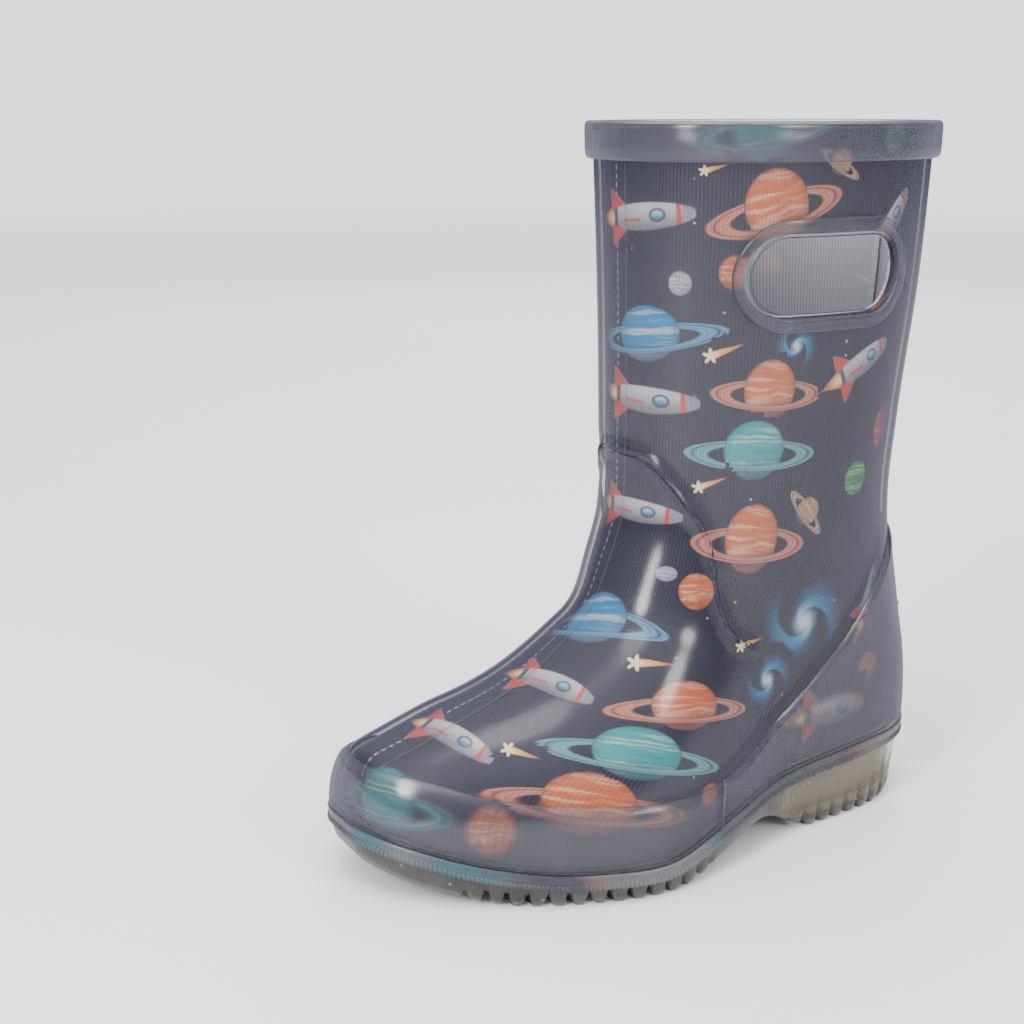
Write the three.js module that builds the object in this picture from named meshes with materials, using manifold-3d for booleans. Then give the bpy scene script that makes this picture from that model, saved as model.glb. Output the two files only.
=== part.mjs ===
// A child's pull-on rain boot, the left one of a pair: a clear moulded shell over a sewn fabric sock,
// with two hand holes, a rim band, a toe guard, a heel counter and a lugged outsole with a filled heel.
// Millimetres. +Z is up, the toe points along -Y and the outer side of the boot faces +X.
// The origin is on the ground, under the middle of the outsole.

import * as THREE from 'three';
import { mergeVertices } from 'three/addons/utils/BufferGeometryUtils.js';
import Module from 'manifold-3d';

// ---- Driving dimensions ----------------------------------------------------------------------

const HEIGHT = 202.5; // ground to rim
const LENGTH = 186; // toe of the outsole to the back of the kick ridges
const BALL_WIDTH = 75; // foot across the ball
const HEEL_WIDTH = 53; // foot across the heel
const RIM_LENGTH = 100.2; // shaft front to back at the rim
const RIM_WIDTH = 76; // shaft side to side at the rim
const ANKLE_LENGTH = 92; // shaft front to back at its narrowest
const ANKLE_WIDTH = 63; // shaft side to side at its narrowest
const ANKLE_HEIGHT = 96; // ground to the narrowest section
const SHAFT_X = -1; // middle of the shaft
const HEEL_X = -2; // middle of the heel
const TOE_X = -13; // tip of the toe, towards the big toe
const HEEL_TUCK = 2; // heel of the foot ahead of the back of the shaft
const TOE_HEIGHT = 36; // ground to the top of the toe

const WALL = 2; // moulded shell
const FABRIC = 1; // sewn sock
const CLEARANCE = 0.3; // between pieces that touch
const SOCK_CLEARANCE = 0.5; // shell to sock, all over their curves

const RIM_BAND_HEIGHT = 10.2;
const RIM_BAND_THICKNESS = 1.9;

const HOLE_LENGTH = 48; // hand hole, along the boot
const HOLE_HEIGHT = 21;
const HOLE_DROP = 39.5; // rim to the middle of the hole
const HOLE_SETBACK = 4; // middle of the hole ahead of the middle of the shaft
const HOLE_RING_WIDTH = 4;
const HOLE_RING_THICKNESS = 0.9;
const HOLE_RING_INSET = 0.6; // edge of the hole to the inner edge of its ring

const GUARD_THICKNESS = 1; // toe guard and heel counter, outside the shell
const GUARD_SPLIT = 0.5; // share of the length where the two meet
const KICK_RIDGES = 5;
const KICK_DEPTH = 1.5; // ridge beyond the heel counter
const KICK_THICKNESS = 2.4;
const KICK_LOW = 33; // lowest ridge above the ground
const KICK_PITCH = 12;

const FOXING_HEIGHT = 4.4; // strip round the top of the outsole
const FOXING_THICKNESS = 0.7;
const SOLE_FLARE = 0.4; // outsole beyond the shell at its top edge
const SOLE_EDGE_TUCK = 1.8; // outsole in from its top edge, at the ground
const HEEL_TAPER = 3; // more of the same at the back of the heel
const LUG_DEPTH = 2.6;
const LUG_PITCH = 8.4;
const LUG_GROOVE = 2.2;
const HEEL_FLOOR = 4.5; // outsole under the heel filler
const HEEL_WALL = 4; // outsole round the heel filler
const FILLER_FRONT = 0.68; // share of the length where the filler starts

const SOCK_SEAM_WIDTH = 2.4;
const SOCK_SEAM_THICKNESS = 0.8;
const SOCK_SEAM_CLEARANCE = 0.9; // seam to the curved sock behind it
const BOARD_THICKNESS = 1.5;
const FOAM_THICKNESS = 3.6;
const COVER_THICKNESS = 0.8;
const INSOLE_PLAY = 0.28 * FOAM_THICKNESS; // insole in from the sock, which leans in above the sole

const FACET_WIDTH = 13.1; // the most, round the boot
const FACET_HEIGHT = 21.6; // the most, from the sole to the rim
const COLUMNS = 4 * Math.ceil((LENGTH + BALL_WIDTH) / (2 * FACET_WIDTH)); // facets round the boot
const ROWS = Math.ceil((HEIGHT + LENGTH) / FACET_HEIGHT); // facets from the sole to the rim

// ---- Curves through a few stations -----------------------------------------------------------

/** Smooth curve through [position, value] stations, flat outside them. */
function curve(stations) {
  const last = stations.length - 1;
  const slope = (i) => (stations[i + 1][1] - stations[i][1]) / (stations[i + 1][0] - stations[i][0]);
  const tangent = (i) => {
    if (i === 0) return slope(0);
    if (i === last) return slope(last - 1);
    const before = stations[i][0] - stations[i - 1][0];
    const after = stations[i + 1][0] - stations[i][0];
    return (slope(i - 1) * after + slope(i) * before) / (before + after);
  };
  return (position) => {
    const x = Math.min(Math.max(position, stations[0][0]), stations[last][0]);
    let i = 0;
    while (i < last - 1 && x > stations[i + 1][0]) i += 1;
    const span = stations[i + 1][0] - stations[i][0];
    const t = (x - stations[i][0]) / span;
    const [from, to] = [stations[i][1], stations[i + 1][1]];
    const bend = (2 * t - 3) * t * t;
    return from * (1 + bend) - to * bend
      + span * t * (1 - t) * ((1 - t) * tangent(i) - t * tangent(i + 1));
  };
}

const TOE_Y = -LENGTH / 2 + SOLE_FLARE + CLEARANCE + FOXING_THICKNESS;
const BACK_Y = LENGTH / 2 - KICK_DEPTH - GUARD_THICKNESS - CLEARANCE;
const FOOT_SPAN = BACK_Y - TOE_Y;
const share = (y) => (y - TOE_Y) / FOOT_SPAN; // 0 at the toe, 1 at the heel
const along = (s) => TOE_Y + s * FOOT_SPAN;
const BALL = BALL_WIDTH / 2;
const HEEL = HEEL_WIDTH / 2;

// Plan of the foot: middle line and half width against the share of the length.
const middleLine = curve([
  [0, TOE_X], [0.12, TOE_X + 5.5], [0.25, -1.5], [0.39, 2.5], [0.525, 2.2], [0.66, -0.4], [0.8, HEEL_X],
  [1, HEEL_X],
]);
const halfWidth = curve([
  [0, 0.72 * BALL], [0.12, 0.75 * BALL], [0.25, 0.92 * BALL], [0.39, BALL],
  [0.525, (BALL + 2 * HEEL) / 2.7], [0.66, 1.08 * HEEL], [0.8, HEEL], [1, HEEL],
]);
// Height of the top of the foot, of the joint between shell and outsole, and of the tread.
const vampHeight = curve([
  [0, TOE_HEIGHT], [0.03, TOE_HEIGHT + 2], [0.08, TOE_HEIGHT + 5.5], [0.155, TOE_HEIGHT + 11.5],
  [0.23, TOE_HEIGHT + 16.5], [0.28, TOE_HEIGHT + 21], [0.325, TOE_HEIGHT + 26.5],
  [0.39, TOE_HEIGHT + 36], [0.5, TOE_HEIGHT + 50], [0.75, TOE_HEIGHT + 46], [1, TOE_HEIGHT + 20],
]);
const jointHeight = curve([
  [0, 19], [0.06, 16], [0.12, 12.8], [0.2, 10.2], [0.3, 9.2], [0.4, 9.6], [0.47, 12.8], [0.57, 17.5],
  [0.67, 20.3], [0.8, 22.5], [1, 24.5],
]);
const treadHeight = curve([
  [0, 9], [0.06, 5], [0.12, 2], [0.18, 0], [0.42, 0], [0.5, 3.5], [0.57, 7.2], [0.64, 7.2],
  [0.69, 3], [0.73, 0], [1, 0],
]);
// Upper edge of the toe guard and heel counter.
const guardHeight = curve([
  [0, TOE_HEIGHT - 1], [0.045, TOE_HEIGHT - 1.5], [0.09, 33.3], [0.15, 30], [0.24, 28], [0.4, 26.5],
  [0.5, 27], [0.57, 31.5], [0.65, 39], [0.73, 50], [0.8, 62], [0.88, 76], [0.97, 90], [1, 92],
]);

// Shaft sections: height, how far the back is ahead of the heel, front to back, side to side.
const upTo = (t) => ANKLE_HEIGHT + t * (HEIGHT - ANKLE_HEIGHT);
const grow = (t, ankle, rim) => ankle + t * (rim - ankle);
const SECTIONS = [
  [0, 6.5, ANKLE_LENGTH - 16, ANKLE_WIDTH - 13],
  [20, 2, ANKLE_LENGTH - 6.5, ANKLE_WIDTH - 10],
  [41, 0.4, ANKLE_LENGTH - 0.4, ANKLE_WIDTH - 7],
  [60, 3.5, ANKLE_LENGTH + 5, ANKLE_WIDTH - 4],
  [78, 7.5, ANKLE_LENGTH + 6, ANKLE_WIDTH - 2],
  [ANKLE_HEIGHT, 10, ANKLE_LENGTH, ANKLE_WIDTH],
  [upTo(0.22), 9, grow(0.06, ANKLE_LENGTH, RIM_LENGTH), grow(0.23, ANKLE_WIDTH, RIM_WIDTH)],
  [upTo(0.59), 5, grow(0.61, ANKLE_LENGTH, RIM_LENGTH), grow(0.62, ANKLE_WIDTH, RIM_WIDTH)],
  [HEIGHT, 3.3, RIM_LENGTH, RIM_WIDTH],
];
const shaftInset = curve(SECTIONS.map((row) => [row[0], row[1]]));
const shaftLength = curve(SECTIONS.map((row) => [row[0], row[2]]));
const shaftWidth = curve(SECTIONS.map((row) => [row[0], row[3]]));

// ---- The outer surface of the shell ----------------------------------------------------------

/** Rounds a length off to nothing between two stations, as a superellipse. */
function roundOff(y, from, to, power) {
  const t = Math.min(Math.max((y - from) / (to - from), 0), 1);
  return (1 - t ** power) ** (1 / power);
}

/** Negative inside the foot, zero on its surface. The top is arched above the sole joint. */
function footField(x, y, z) {
  const s = share(y);
  const ends = roundOff(y, along(0.18), TOE_Y, 2.3) * roundOff(y, along(0.84), BACK_Y - HEEL_TUCK, 2.3);
  const wide = Math.max(halfWidth(s) * ends, 1e-6);
  const topEnds = roundOff(y, along(0.06), TOE_Y, 3.5) * roundOff(y, along(0.91), BACK_Y, 3);
  const top = Math.max(vampHeight(s) * topEnds, 1e-6);
  const base = Math.min(jointHeight(s), top * 0.9);
  const up = Math.max(z - base, 0) / (top - base);
  return Math.sqrt((Math.abs(x - middleLine(s)) / wide) ** 2 + up ** 2.3) - 1;
}

/** Negative inside the shaft, zero on its surface. Every section is a rounded oval. */
function shaftField(x, y, z) {
  const half = shaftLength(z) / 2;
  const middle = BACK_Y - shaftInset(z) - half;
  const across = Math.abs(x - SHAFT_X) / (shaftWidth(z) / 2);
  return (across ** 2.25 + (Math.abs(y - middle) / half) ** 2.25) ** (1 / 2.25) - 1;
}

/** Foot and shaft joined, with the crease between them filled to a soft bend. */
function bootField(x, y, z) {
  const foot = footField(x, y, z) * 30;
  const shaft = shaftField(x, y, z) * 38;
  const blend = 10;
  const near = Math.max(1 - Math.abs(foot - shaft) / blend, 0);
  return Math.min(foot, shaft) - (blend / 4) * near * near;
}

const BACK_ANCHOR = along(0.83);
const frontAnchor = curve([
  [0, along(0.14)], [30, along(0.15)], [40, along(0.22)], [50, along(0.34)], [60, along(0.47)],
  [80, along(0.57)], [100, along(0.6)], [HEIGHT, along(0.6)],
]);
const ANCHOR_RADIUS = 30;

/**
 * Point of the surface for a place round the boot, on the level z = level(y).
 * turn runs 0 to 1 from the back, by the outer side, the toe and the inner side.
 */
function surfacePoint(turn, level, offset = 0) {
  const nominal = level(along(0.5));
  const front = frontAnchor(nominal);
  const straight = BACK_ANCHOR - front;
  const quarter = (Math.PI * ANCHOR_RADIUS) / 2;
  const mirrored = turn > 0.5;
  const reach = (mirrored ? 1 - turn : turn) * (4 * quarter + 2 * straight);
  let anchor = BACK_ANCHOR;
  let angle = reach / ANCHOR_RADIUS;
  if (reach > quarter && reach <= quarter + straight) {
    anchor = BACK_ANCHOR - (reach - quarter);
    angle = Math.PI / 2;
  } else if (reach > quarter + straight) {
    anchor = front;
    angle = Math.PI / 2 + (reach - quarter - straight) / ANCHOR_RADIUS;
  }
  const [dx, dy] = [Math.sin(angle) * (mirrored ? -1 : 1), Math.cos(angle)];
  const lift = Math.min(nominal / ANKLE_HEIGHT, 1);
  const x0 = middleLine(share(anchor)) * (1 - lift) + SHAFT_X * lift;
  let [near, far] = [0, BALL_WIDTH];
  for (let step = 0; step < 30; step += 1) {
    const reachOut = (near + far) / 2;
    const y = anchor + dy * reachOut;
    if (bootField(x0 + dx * reachOut, y, level(y)) < 0) near = reachOut;
    else far = reachOut;
  }
  const y = anchor + dy * near;
  const point = new THREE.Vector3(x0 + dx * near, y, level(y));
  return offset === 0 ? point : point.addScaledVector(outward(point), offset);
}

/** Unit normal of the surface, from the slope of the field. */
function outward(point) {
  const d = 0.05;
  const slope = (ax, ay, az) => bootField(point.x + ax, point.y + ay, point.z + az)
    - bootField(point.x - ax, point.y - ay, point.z - az);
  return new THREE.Vector3(slope(d, 0, 0), slope(0, d, 0), slope(0, 0, d)).normalize();
}

/** Grid of surface points, one row for each level and one column for each turn, moved out by offset. */
function surfaceGrid(levels, turns, offset) {
  return levels.map((level) => turns.map((turn) => {
    const point = surfacePoint(turn, level, offset);
    point.z = Math.max(point.z, 0);
    return point;
  }));
}

/** Sets the height of one row of a grid back to its level, so that the edge is clean. */
function levelRow(row, level) {
  for (const point of row) point.z = level(point.y);
}

const between = (from, to, count) => Array.from({ length: count + 1 }, (_, i) => from + ((to - from) * i) / count);
const around = (count) => Array.from({ length: count }, (_, i) => i / count);
const jointAt = (y) => jointHeight(share(y));
const treadAt = (y) => Math.max(treadHeight(share(y)), 0);
const guardAt = (y) => guardHeight(share(y));

/** Levels from the sole joint to the rim, closer together where the instep lies flat. */
function upperLevels(count, bottomGap, topGap) {
  const rise = curve([[0, 0], [0.12, 0.075], [0.3, 0.16], [0.5, 0.3], [0.68, 0.48], [1, 1]]);
  return between(0, 1, count).map((t) => (y) => {
    const low = jointAt(y) + bottomGap;
    return low + (HEIGHT - topGap - low) * rise(t);
  });
}

// ---- Solids ----------------------------------------------------------------------------------

const wasm = await Module();
wasm.setup();

/** Closed solid between an outer and an inner grid; closed grids wrap round, others get end walls. */
function slab(outer, inner, wraps) {
  const rows = outer.length;
  const columns = outer[0].length;
  const positions = [];
  for (const grid of [outer, inner]) {
    for (const row of grid) for (const point of row) positions.push(point.x, point.y, point.z);
  }
  const at = (grid, row, column) => (grid * rows + row) * columns + (column % columns);
  const triangles = [];
  const quad = (a, b, c, d) => triangles.push(a, b, c, a, c, d);
  const spans = wraps ? columns : columns - 1;
  for (let column = 0; column < spans; column += 1) {
    for (let row = 0; row < rows - 1; row += 1) {
      quad(at(0, row, column), at(0, row + 1, column), at(0, row + 1, column + 1), at(0, row, column + 1));
      quad(at(1, row, column), at(1, row, column + 1), at(1, row + 1, column + 1), at(1, row + 1, column));
    }
    quad(at(0, 0, column), at(0, 0, column + 1), at(1, 0, column + 1), at(1, 0, column));
    const top = rows - 1;
    quad(at(0, top, column), at(1, top, column), at(1, top, column + 1), at(0, top, column + 1));
  }
  if (!wraps) {
    for (let row = 0; row < rows - 1; row += 1) {
      quad(at(0, row, 0), at(1, row, 0), at(1, row + 1, 0), at(0, row + 1, 0));
      const end = columns - 1;
      quad(at(0, row, end), at(0, row + 1, end), at(1, row + 1, end), at(1, row, end));
    }
  }
  return indexed(positions, triangles);
}

/** Closed solid of stacked rings, low to high, with ladder caps that join each point to its mirror. */
function stack(rings) {
  const count = rings[0].length;
  const positions = rings.flatMap((ring) => ring.flatMap((point) => [point.x, point.y, point.z]));
  const triangles = [];
  for (let level = 0; level < rings.length - 1; level += 1) {
    for (let i = 0; i < count; i += 1) {
      const [a, b] = [level * count + i, level * count + ((i + 1) % count)];
      triangles.push(a, a + count, b + count, a, b + count, b);
    }
  }
  const top = (rings.length - 1) * count;
  for (let i = 0; i < count / 2; i += 1) {
    const [a, b] = [i, i + 1];
    const [c, d] = [(count - i) % count, (count - i - 1) % count];
    for (const [p, q, r] of [[a, b, d], [a, d, c]]) {
      if (p !== q && q !== r && p !== r) {
        triangles.push(p, q, r);
        triangles.push(top + p, top + r, top + q);
      }
    }
  }
  return indexed(positions, triangles);
}

function indexed(positions, triangles) {
  const geometry = new THREE.BufferGeometry();
  geometry.setAttribute('position', new THREE.Float32BufferAttribute(positions, 3));
  geometry.setIndex(triangles);
  return geometry;
}

/** The geometry as a manifold-3d solid. */
function solid(geometry) {
  const bare = geometry.clone();
  bare.deleteAttribute('normal');
  bare.deleteAttribute('uv');
  const merged = mergeVertices(bare, 1e-4);
  return new wasm.Manifold(new wasm.Mesh({
    numProp: 3,
    vertProperties: new Float32Array(merged.attributes.position.array),
    triVerts: new Uint32Array(merged.index.array),
  }));
}

/** The manifold-3d solid as a geometry. */
function geometryOf(body) {
  const mesh = body.getMesh();
  return indexed(Array.from(mesh.vertProperties), Array.from(mesh.triVerts));
}

const cut = (geometry, ...tools) => geometryOf(tools.reduce((body, tool) => body.subtract(solid(tool)), solid(geometry)));

/** Stadium seen along X: a bar with round ends, centred on the hand hole. */
function holeOutline(margin) {
  const radius = HOLE_HEIGHT / 2 + margin;
  const straight = HOLE_LENGTH / 2 - HOLE_HEIGHT / 2;
  const shape = new THREE.Shape();
  shape.moveTo(-straight, -radius);
  shape.lineTo(straight, -radius);
  shape.absarc(straight, 0, radius, -Math.PI / 2, Math.PI / 2, false);
  shape.lineTo(-straight, radius);
  shape.absarc(-straight, 0, radius, Math.PI / 2, (3 * Math.PI) / 2, false);
  return shape;
}

const HOLE_Z = HEIGHT - HOLE_DROP;
const HOLE_Y = BACK_Y - shaftInset(HOLE_Z) - shaftLength(HOLE_Z) / 2 - HOLE_SETBACK;

/** Prism of an outline in Y and Z, running along X from one place to another. */
function prismAlongX(shape, from, to, segments = 7) {
  const geometry = new THREE.ExtrudeGeometry(shape, { depth: to - from, bevelEnabled: false, curveSegments: segments });
  geometry.applyMatrix4(new THREE.Matrix4().set(0, 0, 1, from, 1, 0, 0, HOLE_Y, 0, 1, 0, HOLE_Z, 0, 0, 0, 1));
  return geometry;
}

const REACH = RIM_WIDTH;
const handHoles = (margin) => prismAlongX(holeOutline(margin), -REACH, REACH);

// ---- The pieces ------------------------------------------------------------------------------

const FULL_TURN = around(COLUMNS);
const SOCK_OUT = -(WALL + SOCK_CLEARANCE);
const SOCK_IN = SOCK_OUT - FABRIC;

/** Wall that follows the whole boot between two depths, open at the rim and at the sole. */
function wallBetween(turns, out, into, bottomGap, topGap, wraps) {
  const levels = upperLevels(ROWS, bottomGap, topGap);
  const grids = [out, into].map((offset) => surfaceGrid(levels, turns, offset));
  for (const grid of grids) {
    levelRow(grid[0], levels[0]);
    levelRow(grid[ROWS], levels[ROWS]);
  }
  return slab(grids[0], grids[1], wraps);
}

/** The shell's outline as a full body, grown by the clearance, for what lies on the shell to be cut by. */
const shellCore = (() => {
  const levels = upperLevels(ROWS, CLEARANCE, 0);
  const rings = surfaceGrid(levels, FULL_TURN, CLEARANCE);
  levelRow(rings[0], levels[0]);
  levelRow(rings[ROWS], levels[ROWS]);
  const moved = (ring, rise) => ring.map((point) => point.clone().setZ(point.z + rise));
  return solid(stack([moved(rings[0], -WALL), ...rings, moved(rings[ROWS], WALL)]));
})();

const BURIED = -WALL / 2; // start of what lies on the shell, before it is cut back to the surface

function upperShell() {
  return cut(wallBetween(FULL_TURN, 0, -WALL, CLEARANCE, 0, true), handHoles(0));
}

/** Half of the sewn sock, from the back seam to the front seam. */
function sockPanel(from, to) {
  const turns = between(from, to, COLUMNS / 2);
  return cut(wallBetween(turns, SOCK_OUT, SOCK_IN, CLEARANCE, 0, false), handHoles(0));
}

/** Taped seam inside the sock, along a line of constant turn. */
function sockSeam(turn) {
  const levels = upperLevels(ROWS, COVER_TOP + CLEARANCE, 1);
  const half = SOCK_SEAM_WIDTH / 2;
  const outer = SOCK_IN - SOCK_SEAM_CLEARANCE;
  const grids = [outer, outer - SOCK_SEAM_THICKNESS].map((offset) => levels.map((level) => {
    const point = surfacePoint(turn, level, offset);
    const side = turn === 0 ? 1 : -1;
    return [-half, 0, half].map((shift) => new THREE.Vector3(point.x + side * shift, point.y, point.z));
  }));
  return slab(grids[0], grids[1], false);
}

function rimBand() {
  const levels = between(HEIGHT - RIM_BAND_HEIGHT, HEIGHT, 2).map((z) => () => z);
  const grids = [CLEARANCE + RIM_BAND_THICKNESS, BURIED].map((offset) => surfaceGrid(levels, FULL_TURN, offset));
  for (const grid of grids) grid.forEach((row, i) => levelRow(row, levels[i]));
  return geometryOf(solid(slab(grids[0], grids[1], true)).subtract(shellCore));
}

/** Raised ring round one hand hole; side is 1 for the outer side of the boot and -1 for the inner. */
function holeRing(side) {
  const reach = HOLE_RING_INSET + HOLE_RING_WIDTH;
  const levels = between(HOLE_Z - HOLE_HEIGHT / 2 - reach - 2, HOLE_Z + HOLE_HEIGHT / 2 + reach + 2, 6).map((z) => () => z);
  const turns = side > 0 ? between(0.02, 0.48, 24) : between(0.52, 0.98, 24);
  const grids = [CLEARANCE + HOLE_RING_THICKNESS, BURIED].map((offset) => surfaceGrid(levels, turns, offset));
  const patch = solid(slab(grids[0], grids[1], false)).subtract(shellCore);
  const [from, to] = side > 0 ? [0, REACH] : [-REACH, 0];
  const ring = solid(prismAlongX(holeOutline(reach), from, to)).subtract(solid(handHoles(HOLE_RING_INSET)));
  return geometryOf(patch.intersect(ring));
}

/** Thick zone outside the shell, from the sole joint up to the guard line. */
function guard(turns, rows) {
  const levels = between(0, 1, rows).map((t) => (y) => {
    const low = jointAt(y) + CLEARANCE;
    return low + (guardAt(y) - low) * t;
  });
  const grids = [CLEARANCE + GUARD_THICKNESS, BURIED].map((offset) => surfaceGrid(levels, turns, offset));
  for (const grid of grids) levelRow(grid[0], levels[0]);
  return solid(slab(grids[0], grids[1], false));
}

/** Turns at which a level reaches a share of the length, on the outer side. */
function turnAt(s, level) {
  let [low, high] = [0, 0.5];
  for (let step = 0; step < 30; step += 1) {
    const turn = (low + high) / 2;
    if (surfacePoint(turn, level).y > along(s)) low = turn;
    else high = turn;
  }
  return low;
}

const SPLIT_TURN = turnAt(GUARD_SPLIT, jointAt);

function toeGuard() {
  const gap = 0.0015;
  return geometryOf(guard(between(SPLIT_TURN + gap, 1 - SPLIT_TURN - gap, 28), 3).subtract(shellCore));
}

/** Heel counter with its row of kick ridges across the back. */
function heelCounter() {
  const gap = 0.0015;
  const turns = between(-SPLIT_TURN + gap, SPLIT_TURN - gap, 24).map((turn) => (turn < 0 ? turn + 1 : turn));
  let body = guard(turns, 5);
  const width = between(-0.035, 0.035, 4).map((turn) => (turn < 0 ? turn + 1 : turn));
  for (let i = 0; i < KICK_RIDGES; i += 1) {
    const middle = KICK_LOW + i * KICK_PITCH;
    const outerLevels = [middle - KICK_THICKNESS / 4, middle + KICK_THICKNESS / 4].map((z) => () => z);
    const innerLevels = [middle - KICK_THICKNESS / 2, middle + KICK_THICKNESS / 2].map((z) => () => z);
    const outer = surfaceGrid(outerLevels, width, CLEARANCE + GUARD_THICKNESS + KICK_DEPTH);
    const inner = surfaceGrid(innerLevels, width, BURIED);
    body = body.add(solid(slab(outer, inner, false)));
  }
  return geometryOf(body.subtract(shellCore));
}

// Rings round the outsole, all with the same turns, so that caps can join each point to its mirror.
function soleRing(heightAt, offset, taper = 0) {
  return FULL_TURN.map((turn) => {
    const point = surfacePoint(turn, jointAt, 0);
    const normal = outward(point).setZ(0).normalize();
    const back = Math.max(normal.y, 0) * Math.min(Math.max((share(point.y) - 0.7) * 6, 0), 1);
    point.addScaledVector(normal, offset - taper * back);
    point.z = heightAt(point.y);
    return point;
  });
}

/** Insert or insole layer: a ring shape of even thickness that lies on the sole joint. */
function soleLayer(low, high, inset) {
  return stack([soleRing((y) => jointAt(y) + low, -inset), soleRing((y) => jointAt(y) + high, -inset)]);
}

/** Upright block inside the heel, in from the outsole's wall by the margin. */
function heelBlock(margin, above) {
  const heights = [() => HEEL_FLOOR + margin, (y) => jointAt(y) + above];
  const rings = heights.map((heightAt) => soleRing(heightAt, SOLE_FLARE - HEEL_WALL - margin, HEEL_TAPER * 0.8));
  const block = solid(stack(rings));
  const front = new THREE.BoxGeometry(2 * BALL_WIDTH, LENGTH, 2 * HEIGHT);
  front.translate(0, along(FILLER_FRONT) + margin - LENGTH / 2, 0);
  return geometryOf(block.subtract(solid(front)));
}

/** Grooves across the tread between the lugs, as one bar each. */
function treadGrooves() {
  const bars = [];
  for (const [from, to] of [[0.17, 0.45], [0.76, 0.97]]) {
    const count = Math.round(((to - from) * FOOT_SPAN) / LUG_PITCH);
    for (const s of between(from, to, count)) {
      const bar = new THREE.BoxGeometry(2 * BALL_WIDTH, LUG_GROOVE, 2 * LUG_DEPTH);
      bar.translate(0, along(s), 0);
      bars.push(bar);
    }
  }
  return bars;
}

function outsole() {
  const rings = [
    soleRing(treadAt, -SOLE_EDGE_TUCK, HEEL_TAPER),
    soleRing((y) => (2 * treadAt(y) + jointAt(y)) / 3, SOLE_FLARE - 0.2, HEEL_TAPER * 0.6),
    soleRing(jointAt, SOLE_FLARE),
  ];
  return cut(stack(rings), heelBlock(0, 5), ...treadGrooves());
}

function foxingStrip() {
  const rise = [-FOXING_HEIGHT, -FOXING_HEIGHT / 2, 0];
  const grids = [FOXING_THICKNESS, 0].map((thickness) => rise.map((drop) => soleRing(
    (y) => jointAt(y) + drop, SOLE_FLARE + CLEARANCE + thickness,
  )));
  return slab(grids[0], grids[1], true);
}

const LAYER_INSET = WALL + SOCK_CLEARANCE + FABRIC + CLEARANCE;
const SOCK_SOLE_TOP = CLEARANCE + FABRIC;
const BOARD_TOP = SOCK_SOLE_TOP + CLEARANCE + BOARD_THICKNESS;
const FOAM_TOP = BOARD_TOP + CLEARANCE + FOAM_THICKNESS;
const COVER_TOP = FOAM_TOP + CLEARANCE + COVER_THICKNESS;

// ---- Materials and assembly ------------------------------------------------------------------

const vinyl = (color, roughness = 0.25) => new THREE.MeshStandardMaterial({ color, roughness, metalness: 0 });
const cloth = (color) => new THREE.MeshStandardMaterial({ color, roughness: 0.9, metalness: 0 });

const group = new THREE.Group();

function addPiece(name, geometry, material) {
  const mesh = new THREE.Mesh(geometry, material);
  mesh.name = name;
  group.add(mesh);
}

addPiece('upper_shell', upperShell(), vinyl(0x4a4a5c));
addPiece('rim_band', rimBand(), vinyl(0x66667a, 0.35));
addPiece('hand_hole_ring_outer', holeRing(1), vinyl(0x55556a));
addPiece('hand_hole_ring_inner', holeRing(-1), vinyl(0x55556a));
addPiece('toe_guard', toeGuard(), vinyl(0x5a5a6c, 0.2));
addPiece('heel_counter', heelCounter(), vinyl(0x52525f, 0.3));
addPiece('foxing_strip', foxingStrip(), vinyl(0x4c4c58));
addPiece('outsole', outsole(), vinyl(0x5b5955, 0.3));
addPiece('heel_filler', heelBlock(CLEARANCE, -CLEARANCE), cloth(0x968a78));
addPiece('sock_outer_panel', sockPanel(0.002, 0.498), cloth(0x3e3c50));
addPiece('sock_inner_panel', sockPanel(0.502, 0.998), cloth(0x3e3c50));
addPiece('sock_sole_panel', soleLayer(CLEARANCE, SOCK_SOLE_TOP, LAYER_INSET), cloth(0xb8b8c2));
addPiece('sock_front_seam', sockSeam(0.5), cloth(0xc8c8d0));
addPiece('sock_back_seam', sockSeam(0), cloth(0xc8c8d0));
addPiece('insole_board', soleLayer(SOCK_SOLE_TOP + CLEARANCE, BOARD_TOP, LAYER_INSET + INSOLE_PLAY), cloth(0x8f7a5c));
addPiece('insole_foam', soleLayer(BOARD_TOP + CLEARANCE, FOAM_TOP, LAYER_INSET + INSOLE_PLAY), cloth(0x55596a));
addPiece('insole_cover', soleLayer(FOAM_TOP + CLEARANCE, COVER_TOP, LAYER_INSET + INSOLE_PLAY), cloth(0xb4b4c0));

// The middle of the outline, seen from above, stands on the origin.
const middle = new THREE.Box3().setFromObject(group).getCenter(new THREE.Vector3());
group.position.set(-middle.x, -middle.y, 0);

export default group;
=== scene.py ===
"""A child's pull-on rain boot: a clear moulded shell over a sewn, printed knit sock.

The boot is the left one of a pair. Lengths in the classes are millimetres, and a mesh is made in metres.
+Z is up, the toe points along -Y and the outer side of the boot faces +X.
"""

import logging
import math
from collections.abc import Callable, Sequence
from dataclasses import dataclass, field, replace
from enum import Enum
from typing import Any, NamedTuple

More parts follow.
